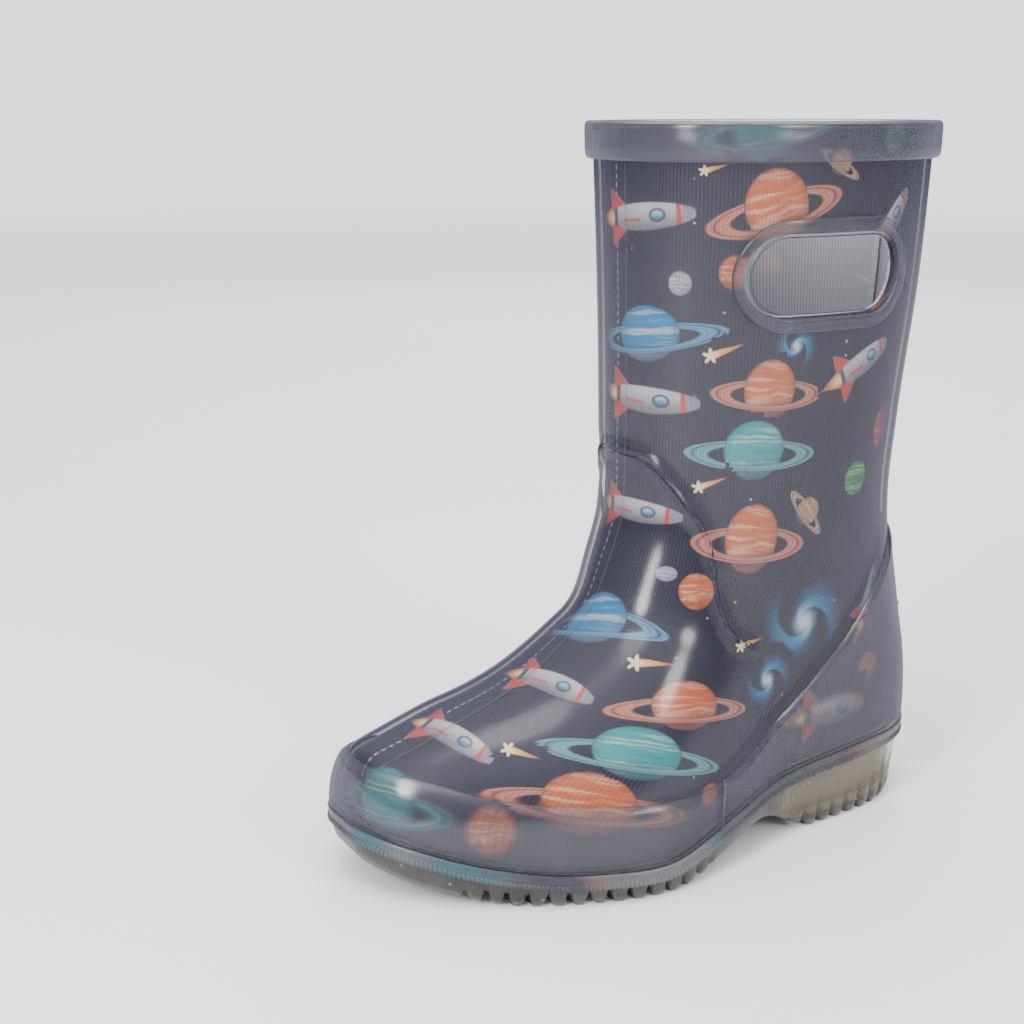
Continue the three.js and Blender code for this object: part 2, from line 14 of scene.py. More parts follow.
import bpy
import numpy as np
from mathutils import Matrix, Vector


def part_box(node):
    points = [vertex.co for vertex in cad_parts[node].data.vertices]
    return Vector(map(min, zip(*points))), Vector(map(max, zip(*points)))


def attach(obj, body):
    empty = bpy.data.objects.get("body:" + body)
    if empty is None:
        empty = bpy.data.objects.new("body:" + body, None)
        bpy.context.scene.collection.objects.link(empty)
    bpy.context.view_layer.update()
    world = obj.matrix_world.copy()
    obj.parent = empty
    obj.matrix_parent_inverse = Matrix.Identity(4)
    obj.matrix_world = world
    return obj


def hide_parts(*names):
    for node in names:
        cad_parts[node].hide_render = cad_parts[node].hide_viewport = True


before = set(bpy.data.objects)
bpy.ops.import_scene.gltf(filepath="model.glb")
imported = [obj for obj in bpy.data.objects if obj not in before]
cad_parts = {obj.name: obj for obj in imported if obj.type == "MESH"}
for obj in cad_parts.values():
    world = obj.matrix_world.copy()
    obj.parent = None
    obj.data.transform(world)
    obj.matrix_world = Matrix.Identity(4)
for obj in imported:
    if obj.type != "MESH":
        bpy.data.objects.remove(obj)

LOG = logging.getLogger("rain_boot")
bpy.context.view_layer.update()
MM = 0.001
Array = np.ndarray
Level = Callable[[Array], Array]


# ---- Form ----


@dataclass(frozen=True)
class Curve:
    """Smooth curve through (position, value) stations, flat outside them."""

    stations: tuple[tuple[float, float], ...]

    def __call__(self, position: Array) -> Array:
        """Cubic between two stations, with the slope at each weighed from the spans beside it.

        Args:
            position: Where the curve is read.

        Returns:
            The value at each position.
        """
        at, value = np.array(self.stations, dtype=float).T
        span = np.diff(at)
        slope = np.diff(value) / span
        inner = (slope[:-1] * span[1:] + slope[1:] * span[:-1]) / (span[:-1] + span[1:])
        tangent = np.concatenate([slope[:1], inner, slope[-1:]])
        x = np.clip(position, at[0], at[-1])
        i = np.clip(np.searchsorted(at, x, side="right") - 1, 0, len(span) - 1)
        t = (x - at[i]) / span[i]
        bend = (2 * t - 3) * t * t
        ends = value[i] * (1 + bend) - value[i + 1] * bend
        return ends + span[i] * t * (1 - t) * ((1 - t) * tangent[i] - t * tangent[i + 1])


def step(value: Array, low: float, high: float) -> Array:
    """Smooth step: 0 at low, 1 at high, three t squared less two t cubed between."""
    t = np.clip((value - low) / (high - low), 0, 1)
    return t * t * (3 - 2 * t)


@dataclass(frozen=True)
class BootForm:
    """Outer surface of the shell, as the zero of a field made of a foot and a shaft."""

    height: float = 202.5
    length: float = 186.0
    ball_width: float = 75.0
    heel_width: float = 53.0
    rim_length: float = 100.2
    rim_width: float = 76.0
    ankle_length: float = 92.0
    ankle_width: float = 63.0
    ankle_height: float = 96.0
    shaft_x: float = -1.0
    heel_x: float = -2.0
    toe_x: float = -13.0
    toe_height: float = 36.0
    heel_tuck: float = 2.0
    toe_margin: float = 1.4
    back_margin: float = 2.8
    anchor_radius: float = 30.0
    foot_reach: float = 30.0
    shaft_reach: float = 38.0
    bend: float = 10.0

    @property
    def toe_y(self) -> float:
        """Front of the shell."""
        return -self.length / 2 + self.toe_margin

    @property
    def back_y(self) -> float:
        """Back of the shell."""
        return self.length / 2 - self.back_margin

    def share(self, y: Array) -> Array:
        """Place along the foot: 0 at the toe, 1 at the heel."""
        return (y - self.toe_y) / (self.back_y - self.toe_y)

    def along(self, s: float) -> float:
        """Y at a share of the foot's length."""
        return self.toe_y + s * (self.back_y - self.toe_y)

    def middle_line(self, s: Array) -> Array:
        """X of the middle of the foot, which swings towards the big toe: a smooth curve of the share s.

        Args:
            s: Share of the foot's length.

        Returns:
            X at each share.
        """
        heel, toe = self.heel_x, self.toe_x
        stations = ((0, toe), (0.12, toe + 5.5), (0.25, -1.5), (0.39, 2.5), (0.525, 2.2), (0.66, -0.4))
        return Curve(stations + ((0.8, heel), (1, heel)))(s)

    def half_width(self, s: Array) -> Array:
        """Half width of the foot in plan, before its ends are rounded off: a smooth curve of the share s.

        Args:
            s: Share of the foot's length.

        Returns:
            Half width at each share.
        """
        ball, heel = self.ball_width / 2, self.heel_width / 2
        front = ((0, 0.72 * ball), (0.12, 0.75 * ball), (0.25, 0.92 * ball), (0.39, ball))
        back = ((0.525, (ball + 2 * heel) / 2.7), (0.66, 1.08 * heel), (0.8, heel), (1, heel))
        return Curve(front + back)(s)

    def vamp_height(self, s: Array) -> Array:
        """Height of the top of the foot above the ground: toe height plus a smooth curve of the share s.

        Args:
            s: Share of the foot's length.

        Returns:
            Height at each share.
        """
        rise = ((0, 0), (0.03, 2), (0.08, 5.5), (0.155, 11.5), (0.23, 16.5), (0.28, 21), (0.325, 26.5))
        rise += ((0.39, 36), (0.5, 50), (0.75, 46), (1, 20))
        return self.toe_height + Curve(rise)(s)

    def joint(self, y: Array) -> Array:
        """Height of the joint between shell and outsole."""
        front = ((0, 19), (0.06, 16), (0.12, 12.8), (0.2, 10.2), (0.3, 9.2), (0.4, 9.6), (0.47, 12.8))
        return Curve(front + ((0.57, 17.5), (0.67, 20.3), (0.8, 22.5), (1, 24.5)))(self.share(y))

    def tread(self, y: Array) -> Array:
        """Height of the underside of the lugs, with toe spring and an arch."""
        front = ((0, 9), (0.06, 5), (0.12, 2), (0.18, 0), (0.42, 0), (0.5, 3.5), (0.57, 7.2))
        return np.maximum(Curve(front + ((0.64, 7.2), (0.69, 3), (0.73, 0), (1, 0)))(self.share(y)), 0)

    def guard(self, y: Array) -> Array:
        """Height of the upper edge of the toe guard and heel counter.

        Args:
            y: Place along the boot.

        Returns:
            Height at each place.
        """
        toe = self.toe_height
        front = ((0, toe - 1), (0.045, toe - 1.5), (0.09, 33.3), (0.15, 30), (0.24, 28), (0.4, 26.5))
        back = ((0.5, 27), (0.57, 31.5), (0.65, 39), (0.73, 50), (0.8, 62), (0.88, 76), (0.97, 90))
        return Curve(front + back + ((1, 92),))(self.share(y))

    def sections(self) -> tuple[Curve, Curve, Curve]:
        """Shaft sections against height.

        Returns:
            Three curves: gap from the heel to the back, size front to back, size side to side.
        """
        length, width, ankle = self.ankle_length, self.ankle_width, self.ankle_height
        more_length, more_width = self.rim_length - length, self.rim_width - width
        rise = self.height - ankle
        rows = (
            (0, 6.5, length - 16, width - 13),
            (20, 2, length - 6.5, width - 10),
            (41, 0.4, length - 0.4, width - 7),
            (60, 3.5, length + 5, width - 4),
            (78, 7.5, length + 6, width - 2),
            (ankle, 10, length, width),
            (ankle + 0.22 * rise, 9, length + 0.06 * more_length, width + 0.23 * more_width),
            (ankle + 0.59 * rise, 5, length + 0.61 * more_length, width + 0.62 * more_width),
            (self.height, 3.3, self.rim_length, self.rim_width),
        )
        return tuple(Curve(tuple((row[0], row[k]) for row in rows)) for k in (1, 2, 3))

    @staticmethod
    def round_off(y: Array, start: float, end: float, power: float) -> Array:
        """Superellipse that falls from 1 at start to 0 at end."""
        t = np.clip((y - start) / (end - start), 0, 1)
        return (1 - t**power) ** (1 / power)

    def foot_field(self, x: Array, y: Array, z: Array) -> Array:
        """Foot: an arch on the sole joint, the root of (across / width)^2 + (up / height)^2.3, less 1.

        Args:
            x, y, z: Where it is read.

        Returns:
            The field, negative inside.
        """
        s = self.share(y)
        ends = self.round_off(y, self.along(0.18), self.toe_y, 2.3)
        ends = ends * self.round_off(y, self.along(0.84), self.back_y - self.heel_tuck, 2.3)
        wide = np.maximum(self.half_width(s) * ends, 1e-6)
        ends = self.round_off(y, self.along(0.06), self.toe_y, 3.5)
        ends = ends * self.round_off(y, self.along(0.91), self.back_y, 3)
        top = np.maximum(self.vamp_height(s) * ends, 1e-6)
        base = np.minimum(self.joint(y), 0.9 * top)
        up = np.maximum(z - base, 0) / (top - base)
        return np.sqrt((np.abs(x - self.middle_line(s)) / wide) ** 2 + up**2.3) - 1

    def shaft_field(self, x: Array, y: Array, z: Array) -> Array:
        """Shaft: rounded ovals, the 2.25th root of (across)^2.25 + (along)^2.25 in half sizes, less 1.

        Args:
            x, y, z: Where it is read.

        Returns:
            The field, negative inside.
        """
        inset, length, width = (curve(z) for curve in self.sections())
        middle = self.back_y - inset - length / 2
        across = np.abs(x - self.shaft_x) / (width / 2)
        return (across**2.25 + (np.abs(y - middle) / (length / 2)) ** 2.25) ** (1 / 2.25) - 1

    def field(self, x: Array, y: Array, z: Array) -> Array:
        """Foot and shaft joined: the lesser of the two, less a parabola where they are nearly equal.

        Args:
            x, y, z: Where it is read.

        Returns:
            The field, negative inside, about the distance in millimetres near the surface.
        """
        foot = self.foot_reach * self.foot_field(x, y, z)
        shaft = self.shaft_reach * self.shaft_field(x, y, z)
        near = np.maximum(1 - np.abs(foot - shaft) / self.bend, 0)
        return np.minimum(foot, shaft) - self.bend / 4 * near * near

    def normals(self, points: Array) -> Array:
        """Unit normals of the surface, from central differences of the field.

        Args:
            points: Points on or near the surface.

        Returns:
            Unit vectors that point outwards.
        """
        x, y, z = points[..., 0], points[..., 1], points[..., 2]
        d = 0.05
        slopes = (
            self.field(x + d, y, z) - self.field(x - d, y, z),
            self.field(x, y + d, z) - self.field(x, y - d, z),
            self.field(x, y, z + d) - self.field(x, y, z - d),
        )
        slope = np.stack(slopes, -1)
        return slope / np.linalg.norm(slope, axis=-1, keepdims=True)

    def surface(self, turn: Array, level: Level) -> Array:
        """Points where rays from inside the boot meet the surface, on the heights z = level(y).

        The rays start from a capsule: two quarter fans at the heel, a straight run, two fans at the toe.

        Args:
            turn: Place round the boot, 0 to 1 from the back, by the outer side, toe and inner side.
            level: Height as a function of y.

        Returns:
            Points, with a last axis of 3.
        """
        nominal = level(np.full_like(turn, self.along(0.5)))
        anchors = ((0, 0.14), (30, 0.15), (40, 0.22), (50, 0.34), (60, 0.47), (80, 0.57), (100, 0.6))
        front = Curve(tuple((z, self.along(s)) for z, s in anchors))(nominal)
        back = self.along(0.83)
        radius = self.anchor_radius
        quarter, straight = math.pi * radius / 2, back - front
        mirrored = turn > 0.5
        reach = np.where(mirrored, 1 - turn, turn) * (4 * quarter + 2 * straight)
        beyond = np.clip(reach - quarter, 0, straight)
        anchor = back - beyond
        angle = (reach - beyond) / radius
        dx, dy = np.sin(angle) * np.where(mirrored, -1, 1), np.cos(angle)
        lift = np.minimum(nominal / self.ankle_height, 1)
        x0 = self.middle_line(self.share(anchor)) * (1 - lift) + self.shaft_x * lift
        near, far = np.zeros_like(turn), np.full_like(turn, self.ball_width)
        for _ in range(26):
            out = (near + far) / 2
            y = anchor + dy * out
            inside = self.field(x0 + dx * out, y, level(y)) < 0
            near, far = np.where(inside, out, near), np.where(inside, far, out)
        y = anchor + dy * near
        return np.stack([x0 + dx * near, y, level(y)], -1)

    def side_point(self, y: Array, z: Array, side: int, offset: float) -> Array:
        """Points of the surface moved out by offset, which have the given y and z.

        Args:
            y: Wanted y of the moved points.
            z: Wanted z of the moved points.
            side: 1 for the outer side of the boot, -1 for the inner side.
            offset: Distance out of the surface.

        Returns:
            Points, with a last axis of 3.
        """
        base_y, base_z = y.copy(), z.copy()
        for _ in range(4):
            near, far = np.zeros_like(y), np.full_like(y, self.ball_width)
            for _ in range(26):
                out = (near + far) / 2
                inside = self.field(self.shaft_x + side * out, base_y, base_z) < 0
                near, far = np.where(inside, out, near), np.where(inside, far, out)
            base = np.stack([self.shaft_x + side * near, base_y, base_z], -1)
            moved = base + offset * self.normals(base)
            base_y, base_z = base_y + y - moved[..., 1], base_z + z - moved[..., 2]
        return moved


@dataclass
class Skin:
    """Fine grid of the whole surface, from the sole joint to the rim, that all walls are offset from."""

    form: BootForm
    rows: int = 170
    columns: int = 240
    bottom_gap: float = 0.1
    points: Array = field(init=False)
    normals: Array = field(init=False)
    turn: Array = field(init=False)

    def __post_init__(self) -> None:
        """Rows are closer together low down, where the instep lies flat."""
        rise = Curve(((0, 0), (0.12, 0.075), (0.3, 0.16), (0.5, 0.3), (0.68, 0.48), (1, 1)))
        t = rise(np.linspace(0, 1, self.rows))[:, None] + np.zeros((1, self.columns))
        self.turn = np.arange(self.columns)[None, :] / self.columns + np.zeros((self.rows, 1))

        def level(y: Array) -> Array:
            """Heights of the rows over y, from just above the sole joint to the rim."""
            low = self.form.joint(y) + self.bottom_gap
            return low + (self.form.height - low) * t

        self.points = self.form.surface(self.turn, level)
        self.normals = self.form.normals(self.points)

    def wall(self, offset: Array | float) -> Array:
        """The grid moved out by offset, with its first and last row kept at their own heights.

        Args:
            offset: Distance out, for all of the grid or for each point.

        Returns:
            Points, rows by columns.
        """
        grid = self.points + self.normals * np.asarray(offset)[..., None]
        grid[0, :, 2] = self.points[0, :, 2]
        grid[-1, :, 2] = self.points[-1, :, 2]
        return grid


# ---- Meshes ----


@dataclass
class Shape:
    """Points and faces of one piece while it is gathered."""

    points: list[Array] = field(default_factory=list)
    faces: list[Array] = field(default_factory=list)
    tags: list[Array] = field(default_factory=list)
    count: int = 0

    def add(self, points: Array) -> Array:
        """Adds points.

        Args:
            points: Points in any layout, with a last axis of 3.

        Returns:
            Their indices, in the same layout.
        """
        flat = points.reshape(-1, 3)
        self.points.append(flat)
        index = np.arange(self.count, self.count + len(flat)).reshape(points.shape[:-1])
        self.count += len(flat)
        return index

    def cells(
        self, index: Array, wrap: bool = False, flip: bool = False, tag: int = 0, keep: Array | None = None
    ) -> None:
        """Adds the faces of an index grid whose rows rise and whose columns run round the boot.

        Args:
            index: Indices, rows by columns.
            wrap: Joins the last column to the first.
            flip: Turns the faces over, for a wall seen from inside.
            tag: Material number of the faces.
            keep: Faces to keep, rows less one by spans, or all of them.
        """
        if wrap:
            index = np.concatenate([index, index[:, :1]], 1)
        quads = np.stack([index[:-1, :-1], index[1:, :-1], index[1:, 1:], index[:-1, 1:]], -1)
        quads = quads[keep] if keep is not None else quads.reshape(-1, 4)
        self.faces.append(quads[:, ::-1] if flip else quads)
        self.tags.append(np.full(len(quads), tag))

    def fan(self, tip: int, edge: Array, flip: bool = False, tag: int = 0) -> None:
        """Adds triangles from one point to each span of an edge.

        Args:
            tip: Index of the point.
            edge: Indices along the edge.
            flip: Turns the triangles over.
            tag: Material number of the triangles.
        """
        faces = np.stack([np.full(len(edge) - 1, tip), edge[:-1], edge[1:]], -1)
        self.faces.append(faces[:, ::-1] if flip else faces)
        self.tags.append(np.full(len(faces), tag))

    def slab(self, outer: Array, inner: Array, wrap: bool = False, tag: int = 0, back_tag: int = 0) -> None:
        """Adds a closed wall between two grids of points.

        Args:
            outer: Points of the side that faces out.
            inner: Points of the side that faces in, in the same layout.
            wrap: Whether the wall goes all the way round.
            tag: Material number of the outer side.
            back_tag: Material number of the inner side and the edges.
        """
        out, into = self.add(outer), self.add(inner)
        self.cells(out, wrap, tag=tag)
        self.cells(into, wrap, flip=True, tag=back_tag)
        self.cells(np.stack([out[-1], into[-1]]), wrap, tag=back_tag)
        self.cells(np.stack([into[0], out[0]]), wrap, tag=back_tag)
        if not wrap:
            self.cells(np.stack([into[:, 0], out[:, 0]], 1), tag=back_tag)
            self.cells(np.stack([out[:, -1], into[:, -1]], 1), tag=back_tag)

    def corners(self) -> Array:
        """Point index of every face corner, in order."""
        return np.concatenate([block.ravel() for block in self.faces])

    def object(self, name: str, materials: Sequence[bpy.types.Material], shift: Array) -> bpy.types.Object:
        """Makes the mesh, in metres in the frame of the model.

        Args:
            name: Name of the piece.
            materials: Its material slots.
            shift: Move from the form's own origin to the model's, in millimetres.

        Returns:
            The object, linked to the scene.
        """
        points = (np.concatenate(self.points) + shift) * MM
        sizes = np.concatenate([np.full(len(block), block.shape[1]) for block in self.faces])
        mesh = bpy.data.meshes.new(name)
        mesh.vertices.add(len(points))
        mesh.vertices.foreach_set("co", points.ravel())
        mesh.loops.add(int(sizes.sum()))
        mesh.loops.foreach_set("vertex_index", self.corners().astype(np.int32))
        mesh.polygons.add(len(sizes))
        mesh.polygons.foreach_set("loop_start", (np.cumsum(sizes) - sizes).astype(np.int32))
        for material in materials:
            mesh.materials.append(material)
        mesh.polygons.foreach_set("material_index", np.concatenate(self.tags).astype(np.int32))
        mesh.polygons.foreach_set("use_smooth", np.ones(len(sizes), dtype=bool))
        mesh.update(calc_edges=True)
        piece = bpy.data.objects.new(name, mesh)
        bpy.context.scene.collection.objects.link(piece)
        return piece


def set_attribute(piece: bpy.types.Object, name: str, values: Array) -> None:
    """Stores one number for each vertex under a name."""
    data = piece.data.attributes.new(name, "FLOAT", "POINT")
    data.data.foreach_set("value", np.ascontiguousarray(values, dtype=np.float32).ravel())


def set_corner_colours(piece: bpy.types.Object, name: str, values: Array) -> None:
    """Stores one colour for each face corner under a name.

    Args:
        piece: Object that gets the colours.
        name: Name of the attribute.
        values: Red, green and blue, a row for each corner.
    """
    data = piece.data.attributes.new(name, "FLOAT_COLOR", "CORNER")
    rgba = np.concatenate([values, np.ones((len(values), 1))], 1)
    data.data.foreach_set("color", np.ascontiguousarray(rgba, dtype=np.float32).ravel())


def set_uv(piece: bpy.types.Object, name: str, values: Array) -> None:
    """Stores a UV map, one pair for each face corner."""
    layer = piece.data.uv_layers.new(name=name)
    layer.data.foreach_set("uv", np.ascontiguousarray(values, dtype=np.float32).ravel())


def hand_in(piece: bpy.types.Object, node: str, slot: str) -> bpy.types.Object:
    """Lets a piece stand for its solid in the model, riding on the one body.

    Args:
        piece: The finished piece.
        node: Name of the solid.
        slot: Not used.

    Returns:
        The same piece.
    """
    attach(piece, "root")
    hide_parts(node)
    LOG.info("%s: %d faces", piece.name, len(piece.data.polygons))
    return piece


# ---- Shader maths ----


class Term:
    """A socket that can be written in Python expressions; each operator adds a Math node."""

    def __init__(self, kit: "NodeKit", socket: bpy.types.NodeSocket) -> None:
        self.kit = kit
        self.socket = socket

    def __add__(self, other: Any) -> "Term":
        """Sum."""
        return self.kit.maths("ADD", self, other)

    __radd__ = __add__

    def __sub__(self, other: Any) -> "Term":
        """Difference."""
        return self.kit.maths("SUBTRACT", self, other)

    def __rsub__(self, other: Any) -> "Term":
        """Difference, with the term second."""
        return self.kit.maths("SUBTRACT", other, self)

    def __mul__(self, other: Any) -> "Term":
        """Product."""
        return self.kit.maths("MULTIPLY", self, other)

    __rmul__ = __mul__

    def __truediv__(self, other: Any) -> "Term":
        """Quotient."""
        return self.kit.maths("DIVIDE", self, other)

    def __rtruediv__(self, other: Any) -> "Term":
        """Quotient, with the term below."""
        return self.kit.maths("DIVIDE", other, self)

    def __pow__(self, other: Any) -> "Term":
        """Power."""
        return self.kit.maths("POWER", self, other)

    def __neg__(self) -> "Term":
        """Opposite."""
        return self.kit.maths("MULTIPLY", self, -1.0)

    def __abs__(self) -> "Term":
        """Absolute value."""
        return self.kit.maths("ABSOLUTE", self)


class NodeKit:
    """Adds nodes to one material."""

    def __init__(self, name: str) -> None:
        """Starts an empty material.

        Args:
            name: Name of the material.
        """
        self.material = bpy.data.materials.new(name)
        self.material.use_nodes = True
        self.tree = self.material.node_tree
        self.tree.nodes.clear()

    def add(
        self,
        kind: str,
        settings: dict[str, Any] | None = None,
        inputs: dict[int | str, Any] | None = None,
        out: int | str | None = 0,
    ) -> Term | None:
        """Adds one node.

        Args:
            kind: Type of the node.
            settings: Properties, which are set first.
            inputs: Values or terms for its sockets, by index or name.
            out: The output to return, or None for a node that ends a material.

        Returns:
            The chosen output as a term.
        """
        node = self.tree.nodes.new(kind)
        for key, value in (settings or {}).items():
            setattr(node, key, value)
        for key, value in (inputs or {}).items():
            if isinstance(value, Term):
                self.tree.links.new(value.socket, node.inputs[key])
            elif isinstance(value, tuple) and len(value) == 3 and node.inputs[key].type == "RGBA":
                node.inputs[key].default_value = (*value, 1.0)
            else:
                node.inputs[key].default_value = value
        return None if out is None else Term(self, node.outputs[out])

    def maths(self, operation: str, *values: Any) -> Term:
        """One Math node on numbers or terms."""
        return self.add("ShaderNodeMath", {"operation": operation}, dict(enumerate(values)))

    def smooth(self, value: Term, low: Any, high: Any, start: float = 0.0, end: float = 1.0) -> Term:
        """Smooth step from start at low to end at high."""
        ends = {"Value": value, "From Min": low, "From Max": high, "To Min": start, "To Max": end}
        return self.add("ShaderNodeMapRange", {"interpolation_type": "SMOOTHSTEP"}, ends)

    def inside(self, distance: Term, soft: Any) -> Term:
        """1 where a signed distance is below 0, with an edge of that softness."""
        return self.smooth(distance, soft, -soft)

    def mix(self, factor: Any, a: Any, b: Any, blend: str = "MIX") -> Term:
        """Colour between a and b, or another blend of them."""
        settings = {"data_type": "RGBA", "blend_type": blend, "clamp_factor": True}
        return self.add("ShaderNodeMix", settings, {0: factor, 6: a, 7: b}, out=2)

    def vector(self, x: Any, y: Any, z: Any = 0.0) -> Term:
        """A vector from three numbers."""
        return self.add("ShaderNodeCombineXYZ", None, {0: x, 1: y, 2: z})

    def noise(self, at: Term, scale: float, detail: float = 2.0, roughness: float = 0.5) -> Term:
        """Noise, about 0.2 to 0.8."""
        inputs = {"Vector": at, "Scale": scale, "Detail": detail, "Roughness": roughness}
        return self.add("ShaderNodeTexNoise", None, inputs)

    def place(self) -> Term:
        """Place on the object, in metres."""
        return self.add("ShaderNodeTexCoord", out="Object")

    def attribute(self, name: str, out: str = "Fac") -> Term:
        """An attribute of the mesh."""
        return self.add("ShaderNodeAttribute", {"attribute_name": name}, out=out)

    def uv(self, name: str) -> tuple[Term, Term]:
        """The two numbers of a UV map."""
        pair = self.add("ShaderNodeUVMap", {"uv_map": name})
        return tuple(self.add("ShaderNodeSeparateXYZ", None, {0: pair}, out=k) for k in (0, 1))

    def bump(self, height: Term, distance: float, strength: float = 1.0, normal: Term | None = None) -> Term:
        """Normal bent by a height.

        Args:
            height: Height, in units of distance.
            distance: That unit, in metres.
            strength: Share of the effect.
            normal: Normal to bend, or the surface's own.

        Returns:
            The normal.
        """
        inputs = {"Height": height, "Distance": distance, "Strength": strength}
        if normal is not None:
            inputs["Normal"] = normal
        return self.add("ShaderNodeBump", None, inputs)

    def principled(self, inputs: dict[str, Any]) -> Term:
        """Principled shader."""
        return self.add("ShaderNodeBsdfPrincipled", None, inputs)

    def blend(self, factor: Any, first: Term, second: Term) -> Term:
        """Mix of two shaders, by the share of the second."""
        return self.add("ShaderNodeMixShader", None, {0: factor, 1: first, 2: second})

    def finish(self, shader: Term) -> bpy.types.Material:
        """Ends the material with a shader."""
        self.add("ShaderNodeOutputMaterial", None, {0: shader}, out=None)
        return self.material


# ---- Finishes ----

Colour = tuple[float, float, float]


@dataclass(frozen=True)
class ClearVinyl:
    """Clear vinyl: a see-through wall with a faint haze and a glossy, slightly wavy skin."""

    name: str
    tint: Colour = (0.040, 0.038, 0.066)
    haze: float = 0.025
    roughness: float = 0.17
    waves: float = 0.35
    mottle: float = 0.02
    rim_gloss: float = 0.22
    face_gloss: float = 0.018
    depth: float = 3.0
    creased: bool = False

    def material(self) -> bpy.types.Material:
        """Makes the material: see-through inside, hazier and glossier where it is seen edge on."""
        kit = NodeKit(self.name)
        at = kit.place()
        swell = kit.noise(at, 38.0, 1.0)
        grain = kit.noise(at, 900.0, 2.0)
        calm = kit.bump(swell, 0.0012, self.waves)
        normal = kit.bump(swell + grain * 0.004, 0.0012, self.waves)
        line = 0.0
        if self.creased:
            away = kit.attribute("crease")
            line = kit.smooth(away, 1.0, 0.0)
            fold = line + kit.smooth(away, 4.5, 0.8) * 0.6
            calm = kit.bump(fold, 0.0011, 1.0, calm)
            normal = kit.bump(fold, 0.0011, 1.0, normal)
        facing = kit.add("ShaderNodeLayerWeight", None, {"Blend": 0.5, "Normal": calm}, out="Facing")
        cloud = self.haze + (kit.noise(at, 70.0, 3.0) - 0.5) * self.mottle
        cloud = cloud + facing**4.0 * self.depth + line * 0.22
        body = kit.add("ShaderNodeBsdfDiffuse", None, {"Color": self.tint, "Normal": normal})
        clear = kit.add("ShaderNodeBsdfTransparent", None, {"Color": (1.0, 1.0, 1.0)})
        polish = {"Color": (1.0, 1.0, 1.0), "Roughness": self.roughness, "Normal": normal}
        gloss = kit.add("ShaderNodeBsdfGlossy", None, polish)
        edge = facing**5.0 * self.rim_gloss + self.face_gloss
        return kit.finish(kit.blend(edge, kit.blend(cloud, clear, body), gloss))


@dataclass(frozen=True)
class SmokyVinyl:
    """Thick smoky vinyl: a dark translucent body, clearer where the attribute "clarity" says so."""

    name: str
    dark: Colour = (0.026, 0.025, 0.024)
    pale: Colour = (0.060, 0.058, 0.053)
    roughness: float = 0.24

    def material(self) -> bpy.types.Material:
        """Makes the material: cloudy flow marks, small trapped bubbles, and lug tips lighter for rubbed wear
        and for painted light glowing through the thin vinyl.
        """
        kit = NodeKit(self.name)
        at = kit.place()
        flow = kit.noise(at, 60.0, 4.0, 0.6)
        bubble = kit.add("ShaderNodeTexVoronoi", None, {"Vector": at, "Scale": 420.0}, out="Distance")
        bubble = kit.smooth(bubble, 0.22, 0.12) * kit.smooth(kit.noise(at, 110.0), 0.52, 0.62)
        wear = kit.attribute("wear")
        clarity = kit.attribute("clarity")
        colour = kit.mix(kit.smooth(flow, 0.35, 0.7), self.dark, self.pale)
        colour = kit.mix(bubble * 0.7, colour, (0.34, 0.33, 0.31))
        # Lug tips lighter grey: partly rubbed wear, partly painted light glowing through the thin vinyl.
        colour = kit.mix(wear * 0.35, colour, (0.24, 0.23, 0.21))
        amber = kit.mix(flow, (0.24, 0.20, 0.145), (0.34, 0.30, 0.225))
        colour = kit.mix(kit.smooth(clarity, 0.1, 0.62) * 0.85, colour, amber)
        height = flow * 0.5 + kit.noise(at, 700.0, 2.0) * 0.12 + bubble * 0.6
        shader = kit.principled({
            "Base Color": colour,
            "Roughness": kit.smooth(flow + wear * 0.3, 0.3, 0.9, self.roughness, self.roughness + 0.22),
            "IOR": 1.5,
            "Alpha": 1.0 - clarity * (1.0 - bubble * 0.5),
            "Normal": kit.bump(height, 0.0004, 0.6),
        })
        return kit.finish(shader)


@dataclass(frozen=True)
class StripVinyl:
    """Satin vinyl of the strip: smoky, with smeared colours of the print that show through it."""

    name: str
    base: Colour = (0.030, 0.029, 0.040)
    roughness: float = 0.22
    smears: tuple[tuple[float, Colour], ...] = (
        (31.0, (0.20, 0.085, 0.055)),
        (37.0, (0.035, 0.12, 0.15)),
        (29.0, (0.13, 0.12, 0.12)),
    )

    def material(self) -> bpy.types.Material:
        """Makes the material: slow noises choose where the smears of colour lie."""
        kit = NodeKit(self.name)
        at = kit.place()
        colour = kit.mix(kit.smooth(kit.noise(at, 90.0, 3.0), 0.35, 0.7), self.base, (0.052, 0.051, 0.064))
        for scale, ink in self.smears:
            colour = kit.mix(kit.smooth(kit.noise(at, scale, 1.0), 0.56, 0.72) * 0.55, colour, ink)
        height = kit.noise(at, 260.0, 3.0) * 0.6 + kit.noise(at, 1100.0, 2.0) * 0.3
        rubbed = kit.noise(at, 150.0, 3.0)
        return kit.finish(kit.principled({
            "Base Color": colour,
            "Roughness": kit.smooth(rubbed, 0.3, 0.7, self.roughness, self.roughness + 0.15),
            "Specular IOR Level": 0.4,
            "Normal": kit.bump(height, 0.0004, 0.45),
        }))


@dataclass(frozen=True)
class Filler:
    """Beige foamed filler, seen through the heel."""

    name: str
    colour: Colour = (0.42, 0.36, 0.27)

    def material(self) -> bpy.types.Material:
        """Makes the material: soft clouds and fine cells."""
        kit = NodeKit(self.name)
        at = kit.place()
        cloud = kit.noise(at, 120.0, 4.0, 0.6)
        cells = kit.add("ShaderNodeTexVoronoi", None, {"Vector": at, "Scale": 900.0}, out="Distance")
        shade = kit.smooth(cloud, 0.3, 0.7)
        colour = kit.mix(shade, tuple(0.72 * c for c in self.colour), self.colour)
        return kit.finish(kit.principled({
            "Base Color": colour,
            "Roughness": 0.8,
            "Normal": kit.bump(cells, 0.0004, 0.5),
        }))


